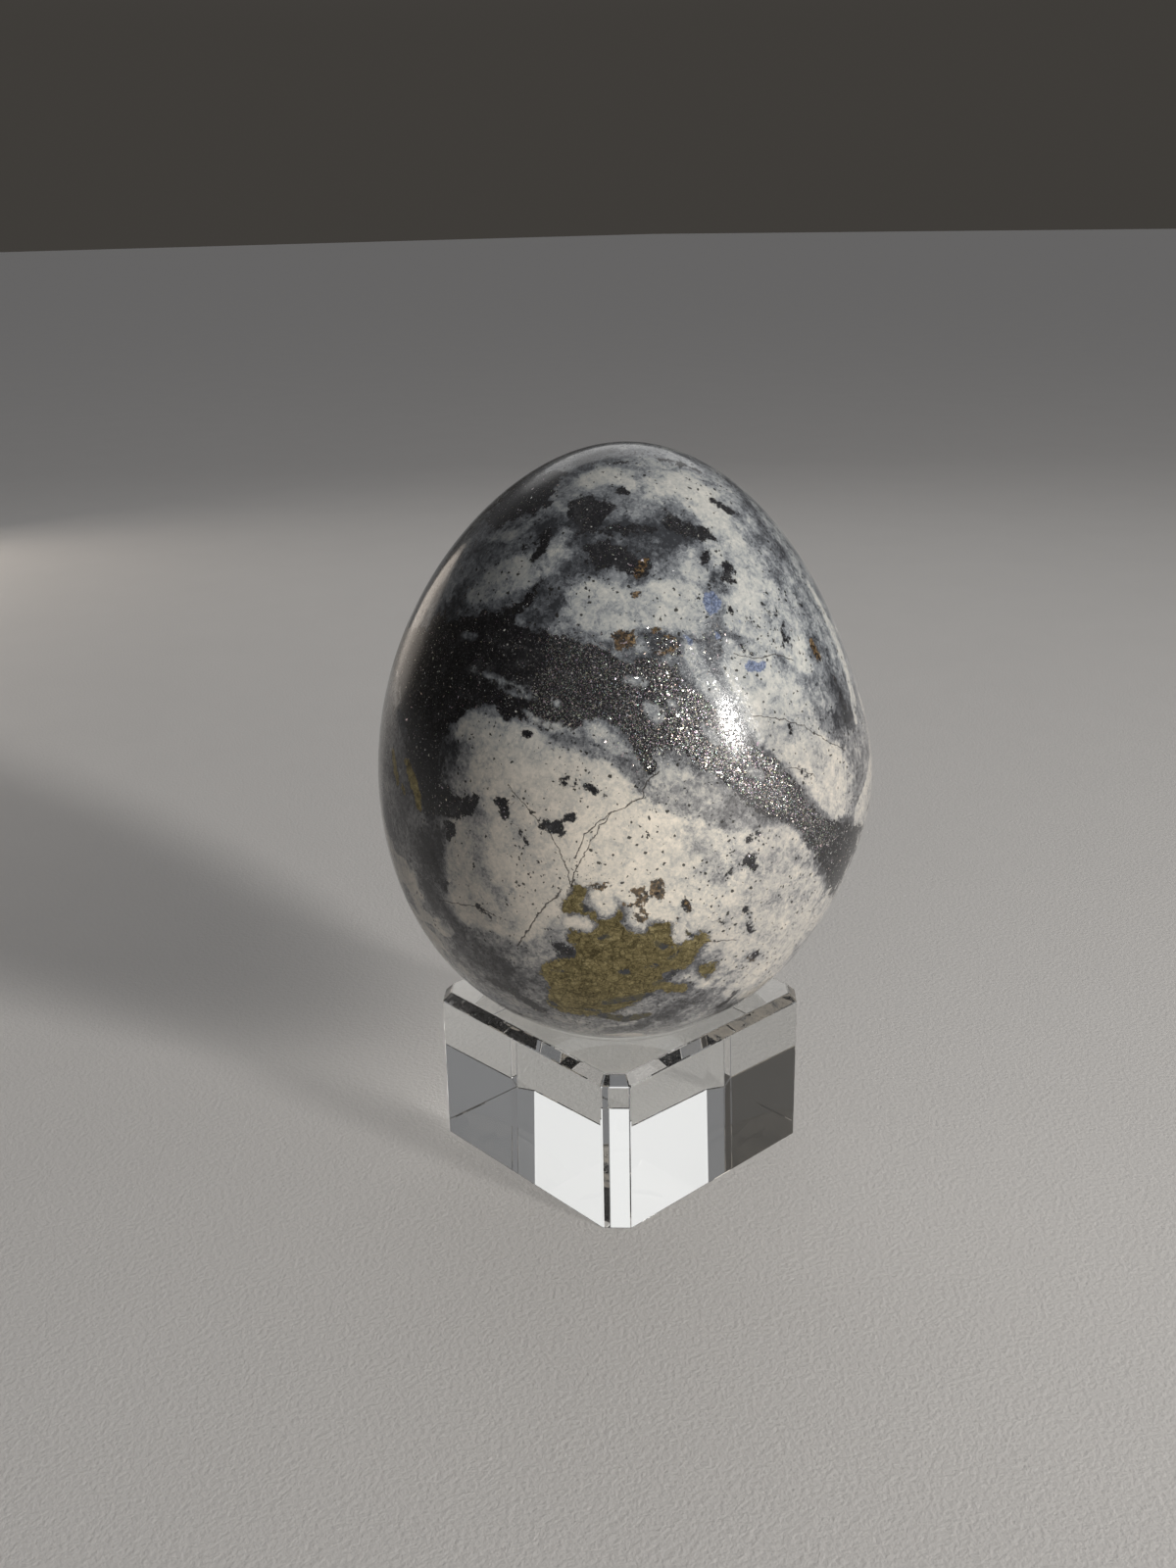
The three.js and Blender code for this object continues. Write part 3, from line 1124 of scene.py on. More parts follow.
@dataclass(frozen=True)
class PolishedStone:
    """Mottled quartz with charcoal bands, brassy patches and hairline cracks, polished smooth.

    The quartz tones run from the darkest to the palest. The middle is the egg's, in millimetres, and a
    side of the stone with painted shade or painted light is named by its direction from there. What is
    called a gloss is a roughness, and a wear is a factor of the quartz's. The relief's heights and depths
    are shares of its size in millimetres.
    """

    polish: float = 0.12
    charcoal_gloss: float = 0.22
    sparkle_gloss: float = 0.42
    dull_flake_gloss: float = 0.42
    bright_flake_gloss: float = 0.32
    glint_gloss: float = 0.30
    brass_gloss: float = 0.36
    brass_metal: float = 0.9
    crystal_metal: float = 0.85
    refraction: float = 1.54
    quartz_wear: tuple[float, float] = (0.6, 1.4)
    zone_wear: float = 1.3

    relief_mm: float = 0.05
    relief_strength: float = 0.6
    peel_height: float = 0.22
    scuff_height: float = 0.7
    speck_depth: float = 0.15
    zone_depth: float = 0.10

    quartz_tones: Ramp = (
        (0.08, (0.038, 0.040, 0.046)),
        (0.28, (0.112, 0.117, 0.130)),
        (0.46, (0.238, 0.248, 0.266)),
        (0.62, (0.400, 0.406, 0.408)),
        (0.80, (0.550, 0.537, 0.508)),
        (1.00, (0.690, 0.658, 0.612)),
    )
    middle_tone: float = 0.535
    cool_tint: Colour = (0.955, 0.99, 1.0)
    warm_tint: Colour = (1.0, 0.964, 0.914)
    warmth_heights: tuple[float, float] = (47.0, 60.0)
    middle: Triple = (0.0, 0.0, 46.0)
    # Painted shade: sides of the quartz darkened by direction, among them the side that faces the key light.
    painted_shade_sides: tuple[PaintedSideShade, ...] = (
        PaintedSideShade((0.92, 0.15, -0.35), 0.60, 0.90, -0.15),
        PaintedSideShade((0.72, -0.25, 0.65), 0.84, 0.95, -0.14),
        PaintedSideShade((-0.40, -0.86, 0.31), 0.50, 0.90, -0.12),
    )
    # Painted light: the quartz is made paler where it faces this direction.
    painted_light_side: Triple = (0.82, -0.57, -0.07)
    painted_light_span: tuple[float, float] = (0.90, 0.985)
    painted_light_gain: Colour = (1.24, 1.24, 1.22)

    smear_tones: Ramp = (
        (0.38, (0.008, 0.008, 0.010)),
        (0.54, (0.015, 0.015, 0.017)),
        (0.66, (0.045, 0.046, 0.050)),
        (0.80, (0.14, 0.145, 0.155)),
    )
    haze_tones: Ramp = (
        (0.50, (0.0, 0.0, 0.0)),
        (0.62, (0.020, 0.020, 0.021)),
        (0.72, (0.14, 0.14, 0.14)),
    )
    # Pale grains in the charcoal, which also stand for painted glints.
    salts_and_painted_glints: tuple[Scatter, ...] = (
        Scatter(5.5, 0.17, 0.36, (0.22, 0.22, 0.22)),
        Scatter(3.4, 0.16, 0.28, (0.48, 0.48, 0.47)),
        Scatter(1.9, 0.09, 0.20, (0.78, 0.77, 0.74)),
    )

    coarse_specks: Scatter = Scatter(0.50, 0.20, 0.10)
    fine_specks: tuple[Scatter, ...] = (
        Scatter(1.05, 0.34, 0.18),
        Scatter(2.0, 0.26, 0.32),
        Scatter(3.6, 0.16, 0.40),
    )
    speck_paint: Colour = (0.018, 0.017, 0.015)
    speck_strength: float = 0.92
    crack_paint: Colour = (0.03, 0.024, 0.02)
    crack_strength: float = 0.85

    rust_tones: Ramp = (
        (0.36, (0.009, 0.007, 0.005)),
        (0.52, (0.064, 0.040, 0.019)),
        (0.64, (0.140, 0.087, 0.038)),
        (0.78, (0.29, 0.195, 0.095)),
    )
    azure_tones: Ramp = (
        (0.38, (0.06, 0.08, 0.14)),
        (0.50, (0.16, 0.205, 0.33)),
        (0.64, (0.32, 0.37, 0.50)),
    )
    azure_joints: Colour = (0.035, 0.04, 0.055)
    stain_strength: float = 0.92

    metal_tones: Ramp = (
        (0.38, (0.072, 0.058, 0.030)),
        (0.46, (0.255, 0.212, 0.104)),
        (0.54, (0.40, 0.338, 0.168)),
        (0.63, (0.68, 0.58, 0.33)),
    )
    fringe: EdgeLook = EdgeLook(2.0, 0.58, 0.28)
    fringe_mm: float = 0.20
    fringe_paint: Colour = (0.050, 0.052, 0.060)
    fringe_strength: float = 0.82
    gold_grains: Scatter = Scatter(2.4, 0.09, 0.16, (0.80, 0.66, 0.34))
    gold_strength: float = 0.8
    brass_pits: Scatter = Scatter(1.8, 0.26, 0.18, (0.030, 0.024, 0.012))
    inclusion_grey: Colour = (0.034, 0.036, 0.041)
    inclusion_olive: Colour = (0.075, 0.066, 0.034)

    dust: CrystalFaces = CrystalFaces(16.0, 0.50, 0.42, 0.03)
    dust_tint: float = 0.40
    dust_tones: Ramp = (
        (0.0, (0.035, 0.035, 0.038)),
        (0.50, (0.085, 0.085, 0.09)),
        (0.80, (0.42, 0.415, 0.41)),
        (1.0, (0.98, 0.93, 0.88)),
    )
    glint: CrystalFaces = CrystalFaces(8.0, 0.70, 0.022, 0.008)
    glint_tint: float = 0.24
    glint_paint: Colour = (0.95, 0.90, 0.86)

    def material(self, effects: EffectKit, cracks: list[CrackStretch]) -> bpy.types.Material:
        """Builds the stone's material.

        Args:
            effects: The shared effects.
            cracks: The stretches of all the cracks.

        Returns:
            The material.
        """
        made, g, shader = new_material("polished_stone")
        canvas = StoneCanvas(g, effects)
        layers = self.layers(canvas, cracks)
        g.feed(shader.inputs["Base Color"], self.colour(canvas, layers))
        g.feed(shader.inputs["Metallic"], self.metal(canvas, layers))
        g.feed(shader.inputs["Roughness"], self.roughness(canvas, layers))
        g.feed(shader.inputs["Normal"], self.relief(canvas, layers))
        shader.inputs["IOR"].default_value = self.refraction
        return made

    def layers(self, canvas: StoneCanvas, cracks: list[CrackStretch]) -> StoneLayers:
        """Builds what the stone's colour, metal, gloss and relief have in common.

        Args:
            canvas: The stone's canvas.
            cracks: The stretches of all the cracks.

        Returns:
            The layers.
        """
        g = canvas.graph
        charcoal = g.math("MULTIPLY", canvas.mask(Mineral.CHARCOAL),
                          g.math("SUBTRACT", 1.0, canvas.mask(Mineral.ISLAND)))
        patch = canvas.mask(Mineral.BRASS)
        inclusion = canvas.mask(Mineral.INCLUSION, canvas.torn)
        brass = g.math("MULTIPLY", patch, g.math("SUBTRACT", 1.0, inclusion))
        bare = g.math("SUBTRACT", 1.0, brass)
        zone = self.sparkling(canvas)
        dust = canvas.faces(self.dust, canvas.place, zone, charcoal)
        glint = canvas.faces(self.glint, canvas.torn, zone, charcoal)
        small = g.math("MULTIPLY", dust.outputs["Mask"], bare)
        return StoneLayers(
            charcoal=charcoal,
            patch=patch,
            inclusion=inclusion,
            brass=brass,
            specks=self.specks(canvas),
            cracks=self.crack_lines(canvas, cracks),
            worn=g.noise(canvas.place, 0.9, detail=5.0, roughness=0.6),
            polished=g.step(g.noise(canvas.place, 3.0, detail=3.0, roughness=0.7), 0.42, 0.49),
            zone=zone,
            dust=dust,
            glint=glint,
            small=small,
            large=g.math("MULTIPLY", glint.outputs["Mask"], bare),
            flake=g.math("MULTIPLY", small, charcoal),
        )

    def colour(self, canvas: StoneCanvas, layers: StoneLayers) -> Socket:
        """Lays the minerals, the flaws and the glitter over the quartz.

        Args:
            canvas: The stone's canvas.
            layers: Its layers.

        Returns:
            The stone's colour.
        """
        g = canvas.graph
        colour = g.blend(layers.charcoal, self.quartz(canvas), self.soot(canvas))
        colour = g.blend(g.math("MULTIPLY", layers.specks, self.speck_strength), colour, self.speck_paint)
        colour = self.stains(canvas, colour)
        colour = self.brassy(canvas, colour, layers.patch)
        included = g.blend(g.step(layers.worn, 0.46, 0.56), self.inclusion_grey, self.inclusion_olive)
        colour = g.blend(layers.inclusion, colour, included)
        colour = g.blend(g.math("MULTIPLY", layers.cracks, self.crack_strength), colour, self.crack_paint)
        shine = g.ramp(layers.dust.outputs["Chance"], self.dust_tones)
        shine = g.blend(self.dust_tint, shine, layers.dust.outputs["Tint"], mode="MULTIPLY")
        flash = g.blend(self.glint_tint, self.glint_paint, layers.glint.outputs["Tint"], mode="MULTIPLY")
        return g.blend(layers.large, g.blend(layers.flake, colour, shine), flash)

    def metal(self, canvas: StoneCanvas, layers: StoneLayers) -> Socket:
        """Makes the brassy patch and the bare crystal faces metal.

        Args:
            canvas: The stone's canvas.
            layers: Its layers.

        Returns:
            How metallic the stone is.
        """
        g = canvas.graph
        crystal = g.math("MULTIPLY", g.math("MAXIMUM", layers.flake, layers.large), self.crystal_metal)
        return g.math("MAXIMUM", g.math("MULTIPLY", layers.brass, self.brass_metal), crystal)

    def roughness(self, canvas: StoneCanvas, layers: StoneLayers) -> Socket:
        """Gives each mineral its gloss, with the quartz worn a little unevenly.

        Args:
            canvas: The stone's canvas.
            layers: Its layers.

        Returns:
            The stone's roughness.
        """
        g = canvas.graph
        bright = g.step(layers.dust.outputs["Chance"], 0.84, 0.90)
        flake = g.lerp(bright, self.dull_flake_gloss, self.bright_flake_gloss)
        sparkling = g.lerp(layers.polished, self.sparkle_gloss, self.polish * self.zone_wear)
        low, high = self.quartz_wear
        rough = g.lerp(layers.worn, self.polish * low, self.polish * high)
        rough = g.lerp(layers.charcoal, rough, self.charcoal_gloss)
        rough = g.lerp(layers.zone, rough, sparkling)
        rough = g.lerp(layers.small, rough, flake)
        rough = g.lerp(layers.large, rough, self.glint_gloss)
        return g.lerp(layers.brass, rough, self.brass_gloss)

    def relief(self, canvas: StoneCanvas, layers: StoneLayers) -> Socket:
        """Dents the surface a little, and tilts the crystal faces in it.

        Args:
            canvas: The stone's canvas.
            layers: Its layers.

        Returns:
            The stone's normal.
        """
        g = canvas.graph
        peel = g.math("MULTIPLY", g.noise(canvas.place, 0.8, detail=3.0), self.peel_height)
        scuffs = g.math("MULTIPLY", g.noise(canvas.place, 5.0, detail=6.0, roughness=0.75),
                        g.math("MULTIPLY", layers.brass, self.scuff_height))
        pits = g.math("MAXIMUM", g.math("MULTIPLY", layers.specks, self.speck_depth), layers.cracks)
        matt = g.math("SUBTRACT", 1.0, layers.polished)
        pits = g.math("MULTIPLY_ADD", matt, g.math("MULTIPLY", layers.zone, self.zone_depth), pits)
        bump = g.node("ShaderNodeBump")
        bump.inputs["Strength"].default_value = self.relief_strength
        bump.inputs["Distance"].default_value = self.relief_mm * MM
        g.feed(bump.inputs["Height"], g.math("SUBTRACT", g.math("ADD", peel, scuffs), pits))
        normal = bump.outputs["Normal"]
        for mask, faces in ((layers.small, layers.dust), (layers.large, layers.glint)):
            facets = g.node("ShaderNodeMix", data_type="VECTOR")
            g.feed(facets.inputs["Factor"], mask)
            g.feed(facets.inputs["A"], normal)
            g.feed(facets.inputs["B"], faces.outputs["Normal"])
            normal = facets.outputs["Result"]
        return normal

    @staticmethod
    def sparkling(canvas: StoneCanvas) -> Socket:
        """Finds where the stone glitters: most in the band, and little deep in the cream quartz.

        Args:
            canvas: The stone's canvas.

        Returns:
            The mask.
        """
        g = canvas.graph
        cream = g.fall(g.reach(Mineral.CREAM), -1.6, 0.0)
        return g.math("MULTIPLY", canvas.mask(Mineral.SPARKLE), g.math("MULTIPLY_ADD", cream, -0.85, 1.0))

    def quartz(self, canvas: StoneCanvas) -> Socket:
        """Builds the colour of the quartz between the other minerals, with painted shade and painted light by
        side.

        Args:
            canvas: The stone's canvas.

        Returns:
            The colour.
        """
        g = canvas.graph
        cloud = g.math("SUBTRACT", g.noise(canvas.rock, 0.30, detail=8.0, roughness=0.66), 0.5)
        wisp = g.math("SUBTRACT", g.noise(canvas.torn, 1.6, detail=7.0, roughness=0.72), 0.5)
        grain = g.math("SUBTRACT", g.noise(canvas.place, 3.6, detail=3.0, roughness=0.8), 0.5)
        patch = g.step(g.noise(canvas.torn, 0.66, detail=7.0, roughness=0.66), 0.50, 0.59)
        halo = g.fall(g.reach(Mineral.CHARCOAL), -0.4, 1.1)
        bright = g.fall(g.reach(Mineral.ISLAND), -0.2, 0.4)
        calm = g.math("MAXIMUM", g.fall(g.reach(Mineral.CREAM), -2.4, -0.5), bright)
        tone = g.math("MULTIPLY_ADD", cloud, g.lerp(calm, 0.84, 0.60), self.middle_tone)
        outward = g.vector("NORMALIZE", g.vector("SUBTRACT", canvas.place, self.middle))
        # Painted shade: the quartz is made darker where it faces these directions.
        for side in self.painted_shade_sides:
            facing = g.vector("DOT_PRODUCT", outward, side.direction, output="Value")
            tone = g.math("MULTIPLY_ADD", g.step(facing, side.low, side.high), side.depth, tone)
        for mask, depth in (
            (wisp, g.lerp(calm, 0.48, 0.34)),
            (grain, 0.42),
            (patch, -0.11),
            (canvas.mask(Mineral.CREAM), 0.34),
            (canvas.mask(Mineral.SMOKE, canvas.torn), -0.25),
            (halo, -0.11),
            (bright, 0.20),
        ):
            tone = g.math("MULTIPLY_ADD", mask, depth, tone)
        for place, scale, depth in (
            (canvas.rock, 0.34, 0.10), (canvas.torn, 0.40, 0.06), (canvas.torn, 1.25, 0.10),
            (canvas.place, 3.1, 0.14),
        ):
            crystal = g.math("SUBTRACT", canvas.crystals(place, scale), 0.5)
            tone = g.math("MULTIPLY_ADD", crystal, depth, tone)
        for scale, width, depth in ((0.40, 0.045, -0.08), (0.27, 0.028, 0.09), (0.85, 0.06, -0.05)):
            tone = g.math("MULTIPLY_ADD", canvas.joints(canvas.torn, scale, width), depth, tone)
        height = g.node("ShaderNodeSeparateXYZ")
        g.feed(height.inputs["Vector"], canvas.rock)
        warm = g.fall(height.outputs["Z"], *self.warmth_heights)
        tint = g.blend(warm, self.cool_tint, self.warm_tint)
        colour = g.blend(1.0, g.ramp(tone, self.quartz_tones), tint, mode="MULTIPLY")
        # Painted light: the colour is raised where the surface faces the painted light side.
        pale = g.step(g.vector("DOT_PRODUCT", outward, self.painted_light_side, output="Value"), *self.painted_light_span)
        return g.blend(pale, colour, self.painted_light_gain, mode="MULTIPLY")

    def soot(self, canvas: StoneCanvas) -> Socket:
        """Builds the colour of the charcoal: near black, with paler smears and fine pale grains that are
        partly painted glints.

        Args:
            canvas: The stone's canvas.

        Returns:
            The colour.
        """
        g = canvas.graph
        smear = g.ramp(g.noise(canvas.rock, 0.55, detail=8.0, roughness=0.7), self.smear_tones)
        haze = g.ramp(g.noise(canvas.place, 3.6, detail=3.0, roughness=0.85), self.haze_tones)
        colour = g.blend(1.0, smear, haze, mode="ADD")
        # Painted glints: the pale grains grow thicker towards the sparkling zone round the highlight.
        near = g.fall(g.reach(Mineral.SPARKLE), -1.0, 7.0)
        flock = g.step(g.noise(canvas.rock, 0.4, detail=3.0), 0.40, 0.60)
        amount = g.math("MULTIPLY", g.lerp(near, 0.14, 1.0), g.lerp(flock, 0.45, 1.45))
        for salt in self.salts_and_painted_glints:
            grains = canvas.grains(salt, canvas.place, g.math("MULTIPLY", amount, salt.share))
            colour = g.blend(grains, colour, salt.paint)
        return colour

    def specks(self, canvas: StoneCanvas) -> Socket:
        """Scatters dark grains of several sizes, thickly in some fields and thinly in others.

        Args:
            canvas: The stone's canvas.

        Returns:
            The grains' mask.
        """
        g = canvas.graph
        field = g.step(g.noise(canvas.torn, 0.20, detail=3.0), 0.42, 0.64)
        thickness = g.math("MULTIPLY_ADD", field, 0.8, 0.2)
        mask: object = 0.0
        for scatter in (self.coarse_specks, *self.fine_specks):
            place = canvas.torn if scatter is self.coarse_specks else canvas.split
            grains = canvas.grains(scatter, place, g.math("MULTIPLY", scatter.share, thickness))
            mask = g.math("MAXIMUM", mask, grains)
        return mask

    def stains(self, canvas: StoneCanvas, colour: Socket) -> Socket:
        """Lays the rusty and the bluish grains over the rest.

        Args:
            canvas: The stone's canvas.
            colour: The colour so far.

        Returns:
            The colour with the grains.
        """
        g = canvas.graph
        fleck = canvas.crystals(canvas.place, 4.2, channel="Green")
        crust = g.noise(canvas.place, 3.0, detail=6.0, roughness=0.8)
        rusty = g.ramp(g.lerp(0.45, crust, fleck), self.rust_tones)
        bluish = g.ramp(g.noise(canvas.place, 3.5, detail=5.0, roughness=0.8), self.azure_tones)
        joints = g.math("MULTIPLY", canvas.joints(canvas.place, 1.5, 0.08), 0.65)
        bluish = g.blend(joints, bluish, self.azure_joints)
        for mineral, paint in ((Mineral.RUST, rusty), (Mineral.AZURE, bluish)):
            colour = g.blend(g.math("MULTIPLY", canvas.mask(mineral), self.stain_strength), colour, paint)
        return colour

    def brassy(self, canvas: StoneCanvas, colour: Socket, brass: Socket) -> Socket:
        """Lays the brassy patch over the rest: a thin dark fringe, olive metal, fractures and pits.

        Args:
            canvas: The stone's canvas.
            colour: The colour so far.
            brass: The patch's mask.

        Returns:
            The colour with the patch.
        """
        g = canvas.graph
        widened = g.math("SUBTRACT", g.reach(Mineral.BRASS), self.fringe_mm)
        fringe = g.math("MULTIPLY", canvas.ragged(widened, self.fringe, canvas.torn), self.fringe_strength)
        colour = g.blend(fringe, colour, self.fringe_paint)
        mottle = g.lerp(0.45, g.noise(canvas.torn, 0.9, detail=9.0, roughness=0.8),
                        g.noise(canvas.place, 2.6, detail=4.0, roughness=0.85))
        gold = canvas.grains(self.gold_grains, canvas.place, self.gold_grains.share)
        metal = g.blend(g.math("MULTIPLY", gold, self.gold_strength), g.ramp(mottle, self.metal_tones),
                        self.gold_grains.paint)
        flaws: object = 0.0
        for mask, depth in (
            (canvas.joints(canvas.torn, 0.55, 0.055), 0.70),
            (canvas.joints(canvas.torn, 1.2, 0.10), 0.52),
            (canvas.joints(canvas.place, 2.3, 0.10), 0.34),
            (canvas.grains(self.brass_pits, canvas.place, self.brass_pits.share), 0.85),
        ):
            flaws = g.math("MAXIMUM", flaws, g.math("MULTIPLY", mask, depth))
        return g.blend(brass, colour, g.blend(flaws, metal, self.brass_pits.paint))

    @staticmethod
    def crack_lines(canvas: StoneCanvas, cracks: list[CrackStretch]) -> Socket:
        """Chains the stretches of the cracks into one mask.

        Args:
            canvas: The stone's canvas.
            cracks: The stretches.

        Returns:
            The mask.
        """
        crooked = canvas.shaken(1.1, detail=5.0, throw=0.8, roughness=0.6)
        mask: object = 0.0
        for stretch in cracks:
            mask = canvas.graph.effect(
                canvas.effects.crack, Place=crooked, Middle=stretch.middle, Along=stretch.along,
                Across=stretch.across, Half_Length=stretch.half_length, Half_Width=stretch.half_width,
                Before=mask,
            ).outputs["Mask"]
        return mask


@dataclass(frozen=True)
class ClearGlass:
    """Colourless optical glass, polished on every face, with faint wipe marks.

    The clear share of the light from lamps and off the floor passes, as it does through thin glass. A ray
    that is still inside after a number of bounces is let out.
    """

    refraction: float = 1.52
    tint: Colour = (0.975, 0.992, 0.985)
    smeared_tint: float = 0.985
    smear: float = 0.025
    cloud_scale: float = 0.16
    wipe_scale: float = 0.6
    wipe_stretch: Triple = (0.25, 0.25, 2.2)
    clear_share: float = 0.8
    trapped_after: float = 3.5

    def material(self) -> bpy.types.Material:
        """Builds the glass material.

        Returns:
            The material.
        """
        made, g, shader = new_material("clear_glass")
        place = g.place()
        cloud = g.noise(place, self.cloud_scale, detail=4.0, roughness=0.6)
        wipe = g.vector("MULTIPLY", place, self.wipe_stretch)
        streak = g.noise(wipe, self.wipe_scale, detail=5.0, roughness=0.7)
        film = g.math("MULTIPLY", g.step(cloud, 0.45, 0.72), g.step(streak, 0.40, 0.75))
        g.feed(shader.inputs["Roughness"], g.math("MULTIPLY", film, self.smear))
        smeared = tuple(c * self.smeared_tint for c in self.tint)
        g.feed(shader.inputs["Base Color"], g.blend(film, self.tint, smeared))
        shader.inputs["Transmission Weight"].default_value = 1.0
        shader.inputs["IOR"].default_value = self.refraction
        path = g.node("ShaderNodeLightPath")
        lighting = g.math("MAXIMUM", path.outputs["Is Shadow Ray"], path.outputs["Is Diffuse Ray"])
        trapped = g.math("GREATER_THAN", path.outputs["Ray Depth"], self.trapped_after)
        passing = g.math("MAXIMUM", g.math("MULTIPLY", lighting, self.clear_share), trapped)
        g.feed(shader.inputs["Alpha"], g.math("SUBTRACT", 1.0, passing))
        return made


@dataclass(frozen=True)
class PaleTable:
    """A pale painted surface with a fine tooth."""

    paint: Colour = (0.84, 0.826, 0.805)
    darkest: float = 0.95
    mottle_scale: float = 0.05
    tooth_scale: float = 1.9
    tooth_mm: float = 0.20
    tooth_strength: float = 0.5
    smoothest: float = 0.55
    roughest: float = 0.75

    def material(self) -> bpy.types.Material:
        """Builds the floor's material.

        Returns:
            The material.
        """
        made, g, shader = new_material("pale_table")
        place = g.place()
        mottle = g.noise(place, self.mottle_scale, detail=5.0, roughness=0.6)
        darker = tuple(c * self.darkest for c in self.paint)
        g.feed(shader.inputs["Base Color"], g.blend(mottle, darker, self.paint))
        tooth = g.noise(place, self.tooth_scale, detail=6.0, roughness=0.62)
        g.feed(shader.inputs["Roughness"], g.lerp(tooth, self.smoothest, self.roughest))
        bump = g.node("ShaderNodeBump")
        bump.inputs["Strength"].default_value = self.tooth_strength
        bump.inputs["Distance"].default_value = self.tooth_mm * MM
        g.feed(bump.inputs["Height"], tooth)
        g.feed(shader.inputs["Normal"], bump.outputs["Normal"])
        return made


def mesh_object(name: str, shape: bmesh.types.BMesh) -> bpy.types.Object:
    """Turns a finished bmesh into a linked object.

    Args:
        name: The object's name.
        shape: The bmesh, which is freed.

    Returns:
        The object, at the origin.
    """
    mesh = bpy.data.meshes.new(name)
    shape.to_mesh(mesh)
    shape.free()
    made = bpy.data.objects.new(name, mesh)
    bpy.context.scene.collection.objects.link(made)
    return made


def settle_modifiers(piece: bpy.types.Object) -> None:
    """Applies a piece's modifiers to its mesh.

    Args:
        piece: The piece.
    """
    graph = bpy.context.evaluated_depsgraph_get()
    graph.update()
    finished = bpy.data.meshes.new_from_object(
        piece.evaluated_get(graph), preserve_all_data_layers=True, depsgraph=graph)
    piece.modifiers.clear()
    piece.data = finished


